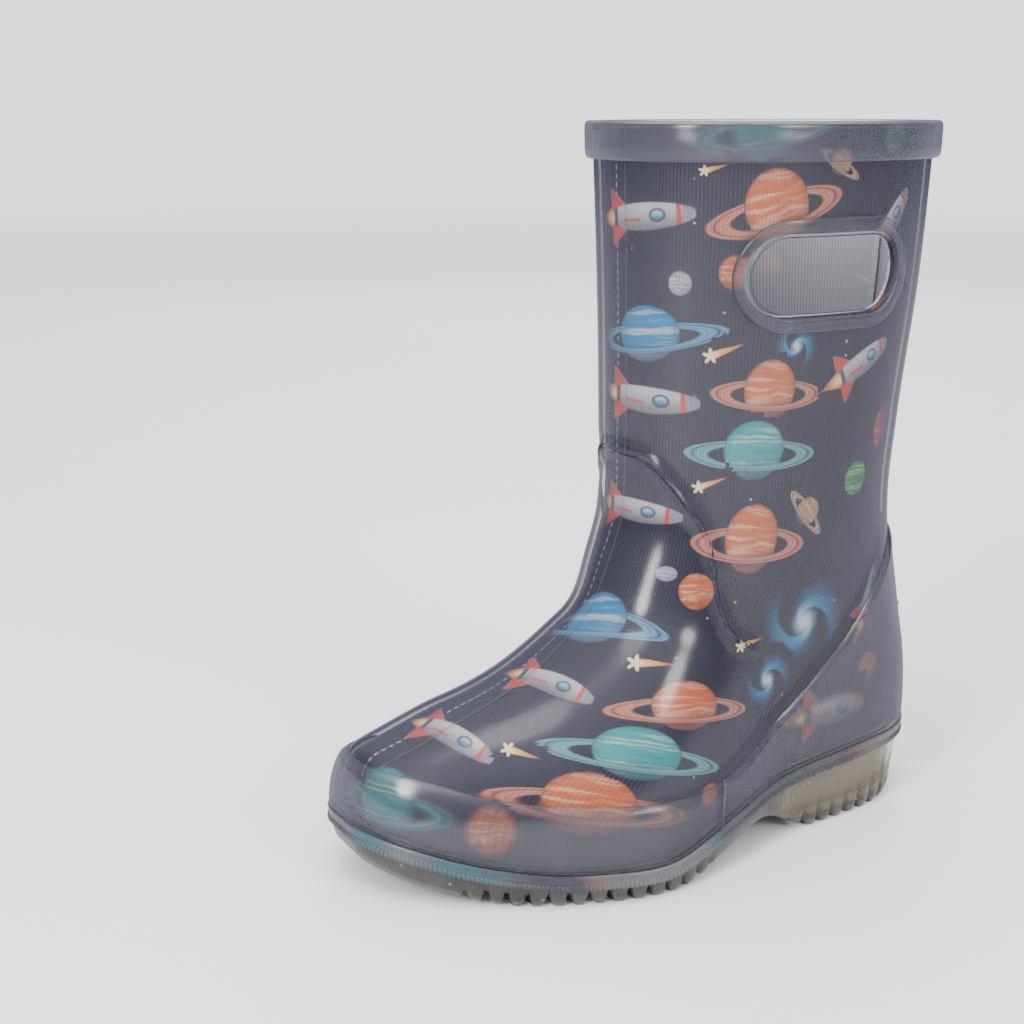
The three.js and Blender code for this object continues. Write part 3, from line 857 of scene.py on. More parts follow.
@dataclass(frozen=True)
class Cloth:
    """Plain cloth or board with a fine weave, for the insole, the seams and the sole of the sock."""

    name: str
    colour: Colour
    pitch: float = 0.0009
    contrast: float = 0.35
    roughness: float = 0.92
    fibres: float = 0.25

    def material(self) -> bpy.types.Material:
        """Makes the material: two crossed waves for the weave, and a loose noise for the fibres."""
        kit = NodeKit(self.name)
        at = kit.place()
        x, y, z = (kit.add("ShaderNodeSeparateXYZ", None, {0: at}, out=k) for k in range(3))
        turn = 2 * math.pi / self.pitch
        weave = kit.maths("SINE", (x + z) * turn) * kit.maths("SINE", (y + z) * turn)
        fibre = kit.noise(at, 2200.0, 2.0)
        soil = kit.smooth(kit.noise(at, 35.0, 3.0), 0.3, 0.75)
        shade = weave * 0.25 + 0.5 + (fibre - 0.5) * self.fibres * 2.0
        low = tuple((1 - self.contrast) * c for c in self.colour)
        colour = kit.mix(shade, low, self.colour)
        colour = kit.mix(soil * 0.18, colour, tuple(0.6 * c for c in self.colour))
        return kit.finish(kit.principled({
            "Base Color": colour,
            "Roughness": self.roughness,
            "Sheen Weight": 0.25,
            "Normal": kit.bump(shade, 0.00025, 0.6),
        }))


class Motif(Enum):
    """Kinds of drawing in the print; the number is the material of its patch of cloth."""

    RINGED = 1
    PLANET = 2
    ROCKET = 3
    COMET = 4
    GALAXY = 5


class Spot(NamedTuple):
    """What a motif is drawn with: place right and up in radii, colour, and softness of its edges."""

    kit: NodeKit
    u: Term
    v: Term
    ink: Term
    soft: Term


@dataclass(frozen=True)
class PrintedKnit:
    """Dark printed knit: ribs, tiny stars and one kind of motif, drawn in the map "motif".

    The map "motif" is in radii of the motif, "weave" in millimetres round and up the boot.
    The attribute "veil" is 1 under thick vinyl, where the print looks blurred and pale.
    The attribute "ink" holds the motif's colour.
    """

    name: str
    motif: Motif | None
    reverse: bool = False
    rib_pitch: float = 1.05
    loop_pitch: float = 0.8
    stitch_pitch: float = 2.3
    seam_place: float = 139.4
    ground: Colour = (0.0060, 0.0052, 0.0160)
    # Painted glare colour of the rib tops.
    glare: Colour = (0.028, 0.026, 0.048)
    lining: Colour = (0.50, 0.50, 0.55)

    def material(self) -> bpy.types.Material:
        """Makes the material: ribbed cloth, a stitched line, the motif, and a pale reverse."""
        kit = NodeKit(self.name)
        around, up = kit.uv("weave")
        at = kit.place()
        veil = kit.attribute("veil")
        rib = kit.maths("SINE", around * (2 * math.pi / self.rib_pitch))
        loop = kit.maths("SINE", up * (2 * math.pi / self.loop_pitch) + kit.maths("SIGN", rib) * 1.57)
        fibre = kit.noise(at, 1500.0, 2.0)
        knit = rib * 0.52 + loop * 0.10 + (fibre - 0.5) * 0.22
        cloth = self.cloth_colour(kit, at, knit, veil)
        if not self.reverse:
            dash = kit.smooth(kit.maths("SINE", up * (2 * math.pi / self.stitch_pitch)), -0.3, 0.1)
            line = kit.inside(abs(around - self.seam_place) - 0.20, 0.14) * dash
            cloth = kit.mix(line * (0.95 - veil * 0.5), cloth, (0.40, 0.40, 0.46))
        if self.motif is not None:
            spot = Spot(kit, *kit.uv("motif"), kit.attribute("ink", "Color"), veil * 0.22 + 0.05)
            painters = {
                Motif.RINGED: self.ringed,
                Motif.PLANET: self.planet,
                Motif.ROCKET: self.rocket,
                Motif.COMET: self.comet,
                Motif.GALAXY: self.galaxy,
            }
            colour, cover = painters[self.motif](spot)
            # Painted shade in the grooves between the ribs, darkening the motif there.
            colour = kit.mix(kit.smooth(knit, -0.1, -0.75) * 0.45, colour, (0.05, 0.05, 0.08))
            cloth = kit.mix(cover * (1.0 - veil * 0.25), cloth, colour)
        if self.reverse:
            # Pale lining with painted shade in the grooves between the ribs.
            pale = kit.mix(kit.smooth(knit, -0.7, 0.6), tuple(0.62 * c for c in self.lining), self.lining)
            cloth = kit.mix(0.80, cloth, pale)
        shader = kit.principled({
            "Base Color": cloth,
            "Roughness": 0.85 if self.reverse else 0.65,
            "Specular IOR Level": 0.2,
            "Sheen Weight": 0.3 if self.reverse else 0.0,
            "Normal": kit.bump(knit, 0.00022, 0.5 if self.reverse else 0.16),
        })
        return kit.finish(shader)

    def cloth_colour(self, kit: NodeKit, at: Term, knit: Term, veil: Term) -> Term:
        """Ground of the print: ribs with painted glare on their tops and painted shade in their grooves, soft
        clouds, and two sizes of tiny stars.

        Args:
            kit: Kit of the material.
            at: Place on the piece.
            knit: Height of the knit.
            veil: How much thick vinyl blurs it.

        Returns:
            Its colour.
        """
        # Painted light and shade of the ribs: rib tops take the painted glare colour, grooves keep the dark
        # ground.
        line = kit.smooth(knit, -0.75, 0.75)
        ribbed = kit.mix(line * (1.0 - veil * 0.8), self.ground, self.glare)
        cloud = kit.smooth(kit.noise(at, 22.0, 3.0, 0.6), 0.42, 0.75)
        ribbed = kit.mix(cloud * 0.35, ribbed, (0.026, 0.021, 0.046))
        for scale, size, share in ((170.0, 0.085, 0.45), (75.0, 0.055, 0.35)):
            away = kit.add("ShaderNodeTexVoronoi", None, {"Vector": at, "Scale": scale}, out="Distance")
            chance = Term(kit, away.socket.node.outputs["Color"])
            lucky = kit.maths("LESS_THAN", kit.add("ShaderNodeSeparateColor", None, {0: chance}), share)
            star = kit.smooth(away, size, size * 0.35) * lucky * (1.0 - veil)
            ribbed = kit.mix(star * 0.75, ribbed, (0.42, 0.42, 0.50))
        return kit.mix(veil * 0.5, ribbed, (0.036, 0.035, 0.052))

    @staticmethod
    def globe(spot: Spot) -> Term:
        """Painted ball of radius 1: wavy bands across, lit from above and darker low on one side.

        Args:
            spot: What it is drawn with.

        Returns:
            Its colour.
        """
        kit, u, v, ink, _ = spot
        key = kit.add("ShaderNodeSeparateColor", None, {0: ink}) * 37.0
        drift = kit.noise(kit.vector(u * 0.8, v * 1.6, key), 1.5, 2.0)
        bands = kit.noise(kit.vector(u * 0.22, v * 3.2 + drift * 1.1, key), 1.6, 3.0, 0.6)
        pale = kit.mix(0.42, ink, (0.80, 0.70, 0.52))
        deep = kit.mix(0.62, ink, (0.06, 0.03, 0.03), "MULTIPLY")
        colour = kit.mix(kit.smooth(bands, 0.50, 0.66), ink, pale)
        colour = kit.mix(kit.smooth(bands, 0.47, 0.34) * 0.75, colour, kit.mix(0.5, ink, deep))
        lit = kit.smooth(u * 0.45 - v * 0.75, -0.1, 1.15)
        colour = kit.mix(lit * 0.6, colour, deep)
        rim = kit.smooth(kit.maths("SQRT", u * u + v * v), 0.72, 1.02)
        return kit.mix(rim * 0.45, colour, deep)

    def ringed(self, spot: Spot) -> tuple[Term, Term]:
        """Ringed planet: rings pass in front of the ball below its middle and behind it above.

        Args:
            spot: What it is drawn with.

        Returns:
            Its colour, and 1 where it covers the cloth.
        """
        kit, u, v, ink, soft = spot
        ball = kit.inside(kit.maths("SQRT", u * u + v * v) - 1.0, soft)
        low = (v + 0.18) / 0.24
        reach = kit.maths("SQRT", u * u + low * low)
        ring = kit.inside(abs(reach - 1.86) - 0.36, soft * 1.4)
        gap = kit.inside(abs(reach - 1.98) - 0.035, soft * 0.9)
        behind = ball * kit.smooth(v, -0.22, -0.15)
        ring = ring * (1.0 - gap * 0.75) * (1.0 - behind)
        lines = kit.maths("SINE", reach * 34.0) * 0.5 + 0.5
        bright = kit.mix(0.16, ink, (0.60, 0.62, 0.60))
        band = kit.mix(lines * 0.55, bright, kit.mix(0.5, ink, (0.05, 0.08, 0.12)))
        under = ball * kit.smooth(v, -0.35, -0.6)
        globe = kit.mix(under * 0.55, self.globe(spot), (0.045, 0.05, 0.08))
        colour = kit.mix(ring, globe, band)
        cover = kit.maths("MAXIMUM", ball * (1.0 - under * 0.25), ring * 0.92)
        return colour, cover

    def planet(self, spot: Spot) -> tuple[Term, Term]:
        """Plain planet with a few craters.

        Args:
            spot: What it is drawn with.

        Returns:
            Its colour, and 1 where it covers the cloth.
        """
        kit, u, v, ink, soft = spot
        ball = kit.inside(kit.maths("SQRT", u * u + v * v) - 1.0, soft)
        pits = {"Vector": kit.vector(u, v, 0.3), "Scale": 1.7}
        pit = kit.add("ShaderNodeTexVoronoi", None, pits, out="Distance")
        colour = self.globe(spot)
        dark = kit.mix(0.6, ink, (0.08, 0.05, 0.05), "MULTIPLY")
        return kit.mix(kit.smooth(pit, 0.30, 0.18) * 0.5, colour, dark), ball

    def rocket(self, spot: Spot) -> tuple[Term, Term]:
        """Rocket flying towards +u: pale hull, window, two bands, two fins and a flame.

        Args:
            spot: What it is drawn with.

        Returns:
            Its colour, and 1 where it covers the cloth.
        """
        kit, u, v, _, soft = spot
        arch = kit.maths("MAXIMUM", 1.0 - ((u + 0.1) / 1.62) * ((u + 0.1) / 1.62), 0.0)
        half = kit.maths("SQRT", arch) * 0.46
        hull = kit.inside(abs(v) - half, soft)
        hull = hull * kit.smooth(u, -1.18 - soft, -1.18 + soft) * kit.inside(u - 1.46, 0.03)
        fin = kit.inside(abs(v) - (-0.22 - u * 0.85), soft)
        fin = fin * kit.smooth(u, -1.55, -1.45) * kit.inside(abs(v) - 0.98, soft)
        fin = fin * kit.smooth(abs(v), 0.20, 0.26) * kit.inside(u + 0.30, soft)
        neck = kit.inside(abs(v) - 0.30, soft) * kit.inside(abs(u + 1.26) - 0.10, soft)
        width = kit.maths("MAXIMUM", (u + 2.32) * 0.40, 0.0)
        flame = kit.inside(abs(v) - width, soft) * kit.inside(u + 1.36, soft)
        shade = kit.smooth(v, 0.35, -0.45)
        colour = kit.mix(shade, (0.44, 0.42, 0.44), (0.13, 0.125, 0.15))
        colour = kit.mix(kit.smooth(u, 1.08, 1.14), colour, (0.20, 0.20, 0.24))
        brushed = kit.smooth(kit.noise(kit.vector(u, v * 3.0), 3.0), 0.5, 0.7)
        colour = kit.mix(brushed * 0.3, colour, (0.30, 0.28, 0.30))
        red = (0.46, 0.045, 0.035)
        stripe = kit.inside(abs(v + 0.10) - 0.045, soft) * kit.inside(abs(u + 0.55) - 0.36, soft)
        colour = kit.mix(kit.inside(abs(u - 1.02) - 0.075, soft) + stripe, colour, red)
        port = kit.maths("SQRT", (u - 0.38) * (u - 0.38) + (v - 0.02) * (v - 0.02) * 1.3)
        colour = kit.mix(kit.inside(port - 0.27, soft), colour, (0.055, 0.04, 0.035))
        glass = kit.mix(kit.smooth(v, 0.16, -0.12), (0.20, 0.50, 0.68), (0.02, 0.13, 0.24))
        colour = kit.mix(kit.inside(port - 0.185, soft), colour, glass)
        colour = kit.mix((1.0 - hull) * fin, colour, red)
        colour = kit.mix((1.0 - hull) * neck, colour, (0.05, 0.05, 0.07))
        fire = kit.mix(kit.smooth(u, -1.45, -2.1), (0.85, 0.62, 0.22), (0.60, 0.12, 0.03))
        fire = kit.mix(kit.smooth(abs(v), 0.04, 0.26), fire, (0.66, 0.20, 0.04))
        burning = flame * (1.0 - neck) * (1.0 - fin)
        colour = kit.mix(burning, colour, fire)
        cover = kit.maths("MAXIMUM", kit.maths("MAXIMUM", hull, fin), kit.maths("MAXIMUM", neck, flame))
        return colour, cover

    def comet(self, spot: Spot) -> tuple[Term, Term]:
        """Shooting star: five-pointed star with a tail that narrows and reddens towards +u.

        Args:
            spot: What it is drawn with.

        Returns:
            Its colour, and 1 where it covers the cloth.
        """
        kit, u, v, _, soft = spot
        angle = kit.maths("ARCTAN2", v, u)
        reach = kit.maths("SQRT", u * u + v * v)
        star = kit.inside(reach - (kit.maths("COSINE", angle * 5.0) * 0.30 + 0.66), soft * 2.0)
        width = kit.maths("MAXIMUM", 0.52 - u * 0.115, 0.0)
        streak = kit.noise(kit.vector(u * 0.5, v * 5.0), 2.0)
        tail = kit.inside(abs(v) - width * (streak * 0.5 + 0.7), soft * 2.0) * kit.smooth(u, -0.1, 0.3)
        tail = tail * kit.smooth(u, 4.7, 3.0)
        fire = kit.mix(kit.smooth(u, 0.2, 4.2), (0.80, 0.42, 0.12), (0.42, 0.08, 0.02))
        fire = kit.mix(kit.smooth(streak, 0.5, 0.7) * 0.5, fire, (0.85, 0.55, 0.22))
        return kit.mix(star, fire, (0.80, 0.66, 0.36)), kit.maths("MAXIMUM", star, tail)

    def galaxy(self, spot: Spot) -> tuple[Term, Term]:
        """Spiral of two arms that wind round a bright middle and fade out.

        Args:
            spot: What it is drawn with.

        Returns:
            Its colour, and 1 where it covers the cloth.
        """
        kit, u, v, ink, _ = spot
        angle = kit.maths("ARCTAN2", v, u)
        reach = kit.maths("SQRT", u * u + v * v)
        wind = kit.maths("LOGARITHM", reach + 0.12, math.e) * 3.6
        arms = kit.maths("SINE", angle * 2.0 + wind) * 0.5 + 0.5
        fine = kit.maths("SINE", angle * 4.0 + wind * 2.3) * 0.5 + 0.5
        body = kit.smooth(reach, 1.9, 0.6)
        core = kit.smooth(reach, 0.75, 0.05)
        cover = kit.maths("MAXIMUM", kit.smooth(arms * 0.75 + fine * 0.3, 0.35, 0.85) * body, core)
        colour = kit.mix(kit.smooth(reach, 1.7, 0.5), kit.mix(0.4, ink, (0.02, 0.05, 0.15)), ink)
        return kit.mix(core * 0.85, colour, (0.66, 0.72, 0.72)), cover * 0.9


# ---- Hand holes and pierced walls ----


@dataclass(frozen=True)
class HandHole:
    """Stadium-shaped hole through both sides of the shaft."""

    form: BootForm
    length: float = 48.0
    height: float = 21.0
    drop: float = 39.5
    setback: float = 4.0

    @property
    def z(self) -> float:
        """Height of its middle."""
        return self.form.height - self.drop

    @property
    def y(self) -> float:
        """Y of its middle."""
        inset, length, _ = (float(curve(self.z)) for curve in self.form.sections())
        return self.form.back_y - inset - length / 2 - self.setback

    def spoke(self, y: Array, z: Array) -> tuple[Array, Array, Array, Array]:
        """Straight lines from the hole's middle bar to points round it.

        Args:
            y: Y of the points.
            z: Z of the points.

        Returns:
            Y where each line starts, its direction in Y and in Z, and its length.
        """
        half = (self.length - self.height) / 2
        start = np.clip(y - self.y, -half, half)
        across, up = y - self.y - start, z - self.z
        reach = np.hypot(across, up)
        safe = np.maximum(reach, 1e-6)
        return start + self.y, across / safe, up / safe, reach

    def outline(self, count: int, margin: Array | float) -> tuple[Array, Array]:
        """Points spaced evenly round the hole: two half circles joined by two straight runs.

        Args:
            count: Number of points.
            margin: Distance out of the hole's edge.

        Returns:
            Their Y and Z.
        """
        radius, half = self.height / 2, (self.length - self.height) / 2
        arc = math.pi * radius
        s = np.arange(count) / count * (2 * arc + 4 * half)
        parts = [s < arc, s < arc + 2 * half, s < 2 * arc + 2 * half]
        angle = np.select(parts, [s / radius, math.pi, (s - 2 * half) / radius], 0.0)
        shift = np.select(parts, [half, half - (s - arc), -half], s - 2 * arc - 3 * half)
        reach = radius + margin
        return self.y + shift + reach * np.sin(angle), self.z + reach * np.cos(angle)


@dataclass
class PiercedWall:
    """Wall between two offsets of the skin, with the hand holes cut through and their lips rounded."""

    skin: Skin
    hole: HandHole
    columns: Array
    out: float
    into: float
    hole_margin: float = 0.0
    lip: float = 0.4
    relief: Array | float = 0.0
    inner_tag: int = 0
    rings: int = 7
    end_gap: float = 0.0
    top_gap: float = 0.0
    weave_length: float = 270.0
    patch: float = 6.0
    shape: Shape = field(default_factory=Shape)
    weave: list[Array] = field(default_factory=list)

    @property
    def whole(self) -> bool:
        """Whether the wall goes all the way round."""
        return len(self.columns) == self.skin.columns

    def face(
        self, offset: Array | float, depth: float, inner: bool
    ) -> tuple[Array, list[Array], list[tuple[Any, ...]]]:
        """Adds one side of the wall.

        A rectangle of the grid round each hole is replaced by rings that narrow to the hole's outline.

        Args:
            offset: Offset of the grid from the skin.
            depth: The same offset without its relief, for the rings.
            inner: Whether this is the side that faces in.

        Returns:
            The grid's indices, and the indices and the spokes of each hole's edge.
        """
        pick = self.columns % self.skin.columns
        grid = self.skin.wall(offset)[:, pick]
        grid[-1, :, 2] -= self.top_gap
        if not self.whole:
            for edge, beside in ((0, 1), (-1, -2)):
                way = grid[:, beside] - grid[:, edge]
                grid[:, edge] += way * self.end_gap / np.linalg.norm(way, axis=-1, keepdims=True)
        plain = self.skin.points[:, pick]
        turn = self.columns / self.skin.columns
        spans = np.linalg.norm(np.diff(grid, axis=0), axis=-1)
        arc = np.concatenate([np.zeros((1, len(pick))), np.cumsum(spans, 0)])
        weave = np.stack([turn[None, :] * self.weave_length + arc * 0, arc], -1)
        index = self.shape.add(grid)
        self.weave.append(weave.reshape(-1, 2))
        tag = self.inner_tag if inner else 0
        keep = np.ones((grid.shape[0] - 1, len(pick) - (0 if self.whole else 1)), dtype=bool)
        edges, outlines = [], []
        for side in (1, -1):
            near = np.abs(plain[..., 1] - self.hole.y) < self.hole.length / 2 + self.patch
            near &= np.abs(plain[..., 2] - self.hole.z) < self.hole.height / 2 + self.patch
            near &= (turn[None, :] < 0.5) == (side > 0)
            if not near.any():
                continue
            rows, spread = np.flatnonzero(near.any(1)), np.flatnonzero(near.any(0))
            low, high, left, right = rows[0] - 1, rows[-1] + 1, spread[0] - 1, spread[-1] + 1
            keep[low:high, left:right] = False
            border = np.concatenate([
                index[low, left:right],
                index[low:high, right],
                index[high, right:left:-1],
                index[high:low:-1, left],
            ])
            local = border - index[0, 0]
            around = grid.reshape(-1, 3)[local]
            start, across, up, _ = self.hole.spoke(*plain.reshape(-1, 3)[local, 1:].T)
            block = np.s_[low:high + 1, left:right + 1]
            to_weave = self.fit(grid[block].reshape(-1, 3), weave[block].reshape(-1, 2))
            loops = [border]
            edge = self.hole.height / 2 + self.hole_margin
            for share in np.linspace(1, 0, self.rings + 1)[1:] ** 1.3:
                y = start + across * edge + (around[:, 1] - start - across * edge) * share
                z = self.hole.z + up * edge + (around[:, 2] - self.hole.z - up * edge) * share
                points = self.skin.form.side_point(y, z, side, depth)
                loops.append(self.shape.add(points))
                self.weave.append(to_weave(points))
            self.shape.cells(np.stack(loops), wrap=True, flip=inner, tag=tag)
            edges.append(loops[-1])
            outlines.append((side, start, across, up, to_weave))
        self.shape.cells(index, self.whole, inner, tag, keep)
        return index, edges, outlines

    @staticmethod
    def fit(points: Array, weave: Array) -> Callable[[Array], Array]:
        """Map from y and z to the weave's two numbers: a quadratic and a cube of y, by least squares.

        Args:
            points: Points of a patch.
            weave: The weave's numbers at those points.

        Returns:
            The map.
        """
        middle = points.mean(0)

        def terms(at: Array) -> Array:
            """Powers of y and z from the patch's middle, in units of 20 mm."""
            y, z = (at[:, 1] - middle[1]) / 20, (at[:, 2] - middle[2]) / 20
            return np.stack([np.ones_like(y), y, z, y * y, y * z, z * z, y**3], -1)

        factors = np.linalg.lstsq(terms(points), weave, rcond=None)[0]
        return lambda at: terms(at) @ factors

    def build(self) -> Shape:
        """Both sides, the rims between them and the lips of the holes."""
        out, out_edges, outlines = self.face(self.out + self.relief, self.out, False)
        into, in_edges, _ = self.face(self.into, self.into, True)
        tag = self.inner_tag
        self.shape.cells(np.stack([out[-1], into[-1]]), self.whole, tag=tag)
        self.shape.cells(np.stack([into[0], out[0]]), self.whole, tag=tag)
        if not self.whole:
            self.shape.cells(np.stack([into[:, 0], out[:, 0]], 1), tag=tag)
            self.shape.cells(np.stack([out[:, -1], into[:, -1]], 1), tag=tag)
        for first, last, (side, start, across, up, to_weave) in zip(out_edges, in_edges, outlines):
            loops = [first]
            for share in (0.15, 0.5, 0.85):
                edge = self.hole.height / 2 + self.hole_margin - self.lip * math.sin(math.pi * share)
                depth = self.out + (self.into - self.out) * share
                y, z = start + across * edge, self.hole.z + up * edge
                points = self.skin.form.side_point(y, z, side, depth)
                loops.append(self.shape.add(points))
                self.weave.append(to_weave(points))
            self.shape.cells(np.stack([*loops, last]), wrap=True, tag=tag)
        return self.shape


# ---- Upper ----


@dataclass
class Upper:
    """Moulded upper: shell, rim band, rings round the hand holes, toe guard and heel counter."""

    skin: Skin
    hole: HandHole
    shift: Array
    wall: float = 2.0
    band_height: float = 10.2
    band_thickness: float = 2.2
    ring_width: float = 4.0
    ring_inset: float = 0.6
    ring_thickness: float = 1.0
    guard_thickness: float = 1.2
    guard_split: float = 0.5
    kick_ridges: int = 5
    kick_depth: float = 1.3
    kick_low: float = 33.0
    kick_pitch: float = 12.0
    kick_half_turn: float = 0.036
    crease_height: float = 1.0
    crease_end: float = 0.266
    clear: ClearVinyl = ClearVinyl("clear_vinyl", creased=True)
    frosted: ClearVinyl = ClearVinyl("frosted_vinyl", (0.10, 0.10, 0.135), 0.20, 0.2, 0.5, 0.06, 0.18)
    thick: ClearVinyl = ClearVinyl("thick_vinyl", (0.075, 0.074, 0.105), 0.13, 0.16, 0.45, 0.05, 0.18)

    def crease_distance(self) -> Array:
        """Distance to the moulded crease, which runs over the instep and down both sides to the guard.

        Returns:
            Distance of each point of the skin, in millimetres.
        """
        front = ((0, 114), (0.04, 113), (0.064, 109), (0.09, 101), (0.114, 92))
        line = Curve(front + ((0.132, 80), (0.16, 69), (0.216, 60), (self.crease_end, 53)))
        turn = 0.5 + np.linspace(-self.crease_end, self.crease_end, 420)
        points = self.skin.form.surface(turn, lambda y: line(np.abs(turn - 0.5)))
        flat = self.skin.points.reshape(-1, 3)
        blocks = np.array_split(flat, 24)
        away = [np.sqrt(((block[:, None] - points[None]) ** 2).sum(-1)).min(1) for block in blocks]
        away = np.concatenate(away).reshape(self.skin.turn.shape)
        return away + 6 * step(np.abs(self.skin.turn - 0.5), 0.22, 0.27)

    def crease(self) -> Array:
        """Relief of the crease: a narrow bell curve less a wide, lower one, of the distance to its line."""
        away = self.crease_distance()
        ridge = np.exp(-((away / 1.6) ** 2)) - 0.6 * np.exp(-((away / 5.0) ** 2))
        return self.crease_height * ridge

    def shell(self) -> bpy.types.Object:
        """Clear shell with its two hand holes."""
        columns = np.arange(self.skin.columns)
        wall = PiercedWall(self.skin, self.hole, columns, 0.0, -self.wall, relief=self.crease(), lip=0.5)
        shape = wall.build()
        piece = shape.object("clear_shell", [self.clear.material()], self.shift)
        away = self.crease_distance().ravel()
        set_attribute(piece, "crease", np.concatenate([away, np.full(shape.count - len(away), 30.0)]))
        return hand_in(piece, "upper_shell", "clear_vinyl")

    def rim_band(self) -> bpy.types.Object:
        """Thick band round the rim: a closed profile with rounded edges, carried round the boot."""
        top, low, thick = self.skin.form.height, self.skin.form.height - self.band_height, self.band_thickness
        profile = [(0.02, low + 0.2), (0.9, low), (1.7, low + 0.25), (thick, low + 1.0)]
        profile += [(thick + 0.1, low + 3), (thick, top - 3), (thick - 0.1, top - 1.0), (1.6, top - 0.25)]
        profile += [(0.9, top), (-0.6, top), (-1.6, top - 0.25), (-1.9, top - 1.2), (-0.4, top - 1.6)]
        profile += [(0.02, top - 2.4)]
        turn = np.arange(360) / 360
        rows = []
        for offset, height in profile:
            base = self.skin.form.surface(turn, lambda y, z=height: np.full_like(y, z))
            row = base + offset * self.skin.form.normals(base)
            row[:, 2] = height
            rows.append(row)
        shape = Shape()
        index = shape.add(np.stack(rows))
        shape.cells(np.concatenate([index, index[:1]]), wrap=True)
        piece = shape.object("rim_band_moulding", [self.frosted.material()], self.shift)
        return hand_in(piece, "rim_band", "frosted_vinyl")

    def hole_ring(self, side: int, node: str) -> bpy.types.Object:
        """Raised ring round one hand hole: a low rounded profile carried round the outline.

        Args:
            side: 1 for the outer side of the boot, -1 for the inner side.
            node: Name of its solid.

        Returns:
            The piece.
        """
        profile = [(0.0, 0.02), (0.0, 0.55), (0.12, 0.85), (0.3, 1.0)]
        profile += [(0.6, 0.9), (0.85, 0.8), (0.97, 0.45), (1.0, 0.02)]
        rows = []
        for share, lift in profile:
            y, z = self.hole.outline(240, self.ring_inset + self.ring_width * share)
            rows.append(self.skin.form.side_point(y, z, side, lift * self.ring_thickness))
        shape = Shape()
        index = shape.add(np.stack(rows[::-side]))
        shape.cells(np.concatenate([index, index[:1]]), wrap=True)
        piece = shape.object(node + "_moulding", [self.thick.material()], self.shift)
        return hand_in(piece, node, "frosted_vinyl")

    def split_turn(self) -> float:
        """Turn where the sole joint reaches the split between toe guard and heel counter."""
        turn = np.linspace(0.05, 0.45, 400)
        y = self.skin.form.surface(turn, self.skin.form.joint)[:, 1]
        return float(np.interp(-self.skin.form.along(self.guard_split), -y, turn))

    def guard(self, turn: Array, rows: int, ridges: bool) -> Shape:
        """Thick zone from the sole joint to the guard line, feathered at its upper edge.

        Its lift is the guard's thickness times the root of a smooth step of the room left below the
        guard line, plus a smooth hump for each kick ridge.

        Args:
            turn: Turns of its columns.
            rows: Number of rows.
            ridges: Whether the kick ridges stand on it.

        Returns:
            The closed wall.
        """
        form = self.skin.form
        share = np.linspace(0, 1, rows)[:, None]
        around = turn[None, :] % 1.0 + 0 * share

        def level(y: Array) -> Array:
            """Heights of the rows over y, from just above the sole joint to the guard line."""
            low = form.joint(y) + 0.15
            return low + (form.guard(y) - low) * share

        base = form.surface(around, level)
        normals = form.normals(base)
        room = form.guard(base[..., 1]) - base[..., 2]
        lift = self.guard_thickness * np.sqrt(step(room, -0.2, 3.2))
        if ridges:
            for k in range(self.kick_ridges):
                away = np.abs(base[..., 2] - (self.kick_low + k * self.kick_pitch))
                ends = 1 - step(np.abs(turn), self.kick_half_turn * 0.8, self.kick_half_turn)
                lift = lift + self.kick_depth * (1 - step(away, 0.35, 1.4)) * ends[None, :]
        outer = base + (0.03 + lift)[..., None] * normals
        inner = base + 0.015 * normals
        for grid in (outer, inner):
            grid[0, :, 2] = base[0, :, 2]
        shape = Shape()
        shape.slab(outer, inner)
        return shape

    def toe_guard(self) -> bpy.types.Object:
        """Toe guard, from the split by the toe to the split."""
        split = self.split_turn()
        shape = self.guard(np.linspace(split, 1 - split, 260), 40, False)
        piece = shape.object("toe_guard_moulding", [self.thick.material()], self.shift)
        return hand_in(piece, "toe_guard", "frosted_vinyl")

    def heel_counter(self) -> bpy.types.Object:
        """Heel counter with its kick ridges."""
        split = self.split_turn()
        shape = self.guard(np.linspace(-split, split, 240), 130, True)
        piece = shape.object("heel_counter_moulding", [self.thick.material()], self.shift)
        return hand_in(piece, "heel_counter", "frosted_vinyl")

    def build(self) -> None:
        """Builds all of it."""
        self.shell()
        self.rim_band()
        self.hole_ring(1, "hand_hole_ring_outer")
        self.hole_ring(-1, "hand_hole_ring_inner")
        self.toe_guard()
        self.heel_counter()


# ---- Sock ----


class Ink(Enum):
    """Colours of the print."""

    TEAL = (0.030, 0.270, 0.290)
    BLUE = (0.010, 0.180, 0.380)
    ORANGE = (0.500, 0.115, 0.038)
    TAN = (0.340, 0.180, 0.105)
    RED = (0.440, 0.050, 0.022)
    GREY = (0.270, 0.270, 0.340)
    GREEN = (0.030, 0.210, 0.060)
    ICE = (0.020, 0.190, 0.380)


@dataclass(frozen=True)
class Stamp:
    """One motif of the print: its place round and up the boot, its radius and its turn."""

    motif: Motif
    turn: float
    height: float
    size: float
    ink: Ink
    tilt: float = 0.0
    squash: float = 1.0

    def covers(self, u: Array, v: Array) -> Array:
        """Whether places lie within the motif's outline and a small margin.

        Args:
            u: Places to the right, in radii of the motif.
            v: Places up, in radii of the motif.

        Returns:
            True for each place within.
        """
        m = 1.3 / self.size
        round_one = np.hypot(u, v)
        if self.motif is Motif.RINGED:
            return (np.hypot(u / (2.3 + m), (v + 0.18) / (0.60 + m)) < 1) | (round_one < 1.08 + m)
        if self.motif is Motif.PLANET:
            return round_one < 1.08 + m
        if self.motif is Motif.ROCKET:
            return (u > -2.35 - m) & (u < 1.5 + m / 2) & (np.abs(v) < 1.0 + m)
        if self.motif is Motif.COMET:
            return (u > -1.05 - m) & (u < 4.8 + m) & (np.abs(v) < 1.05 + m)
        return round_one < 2.05 + m


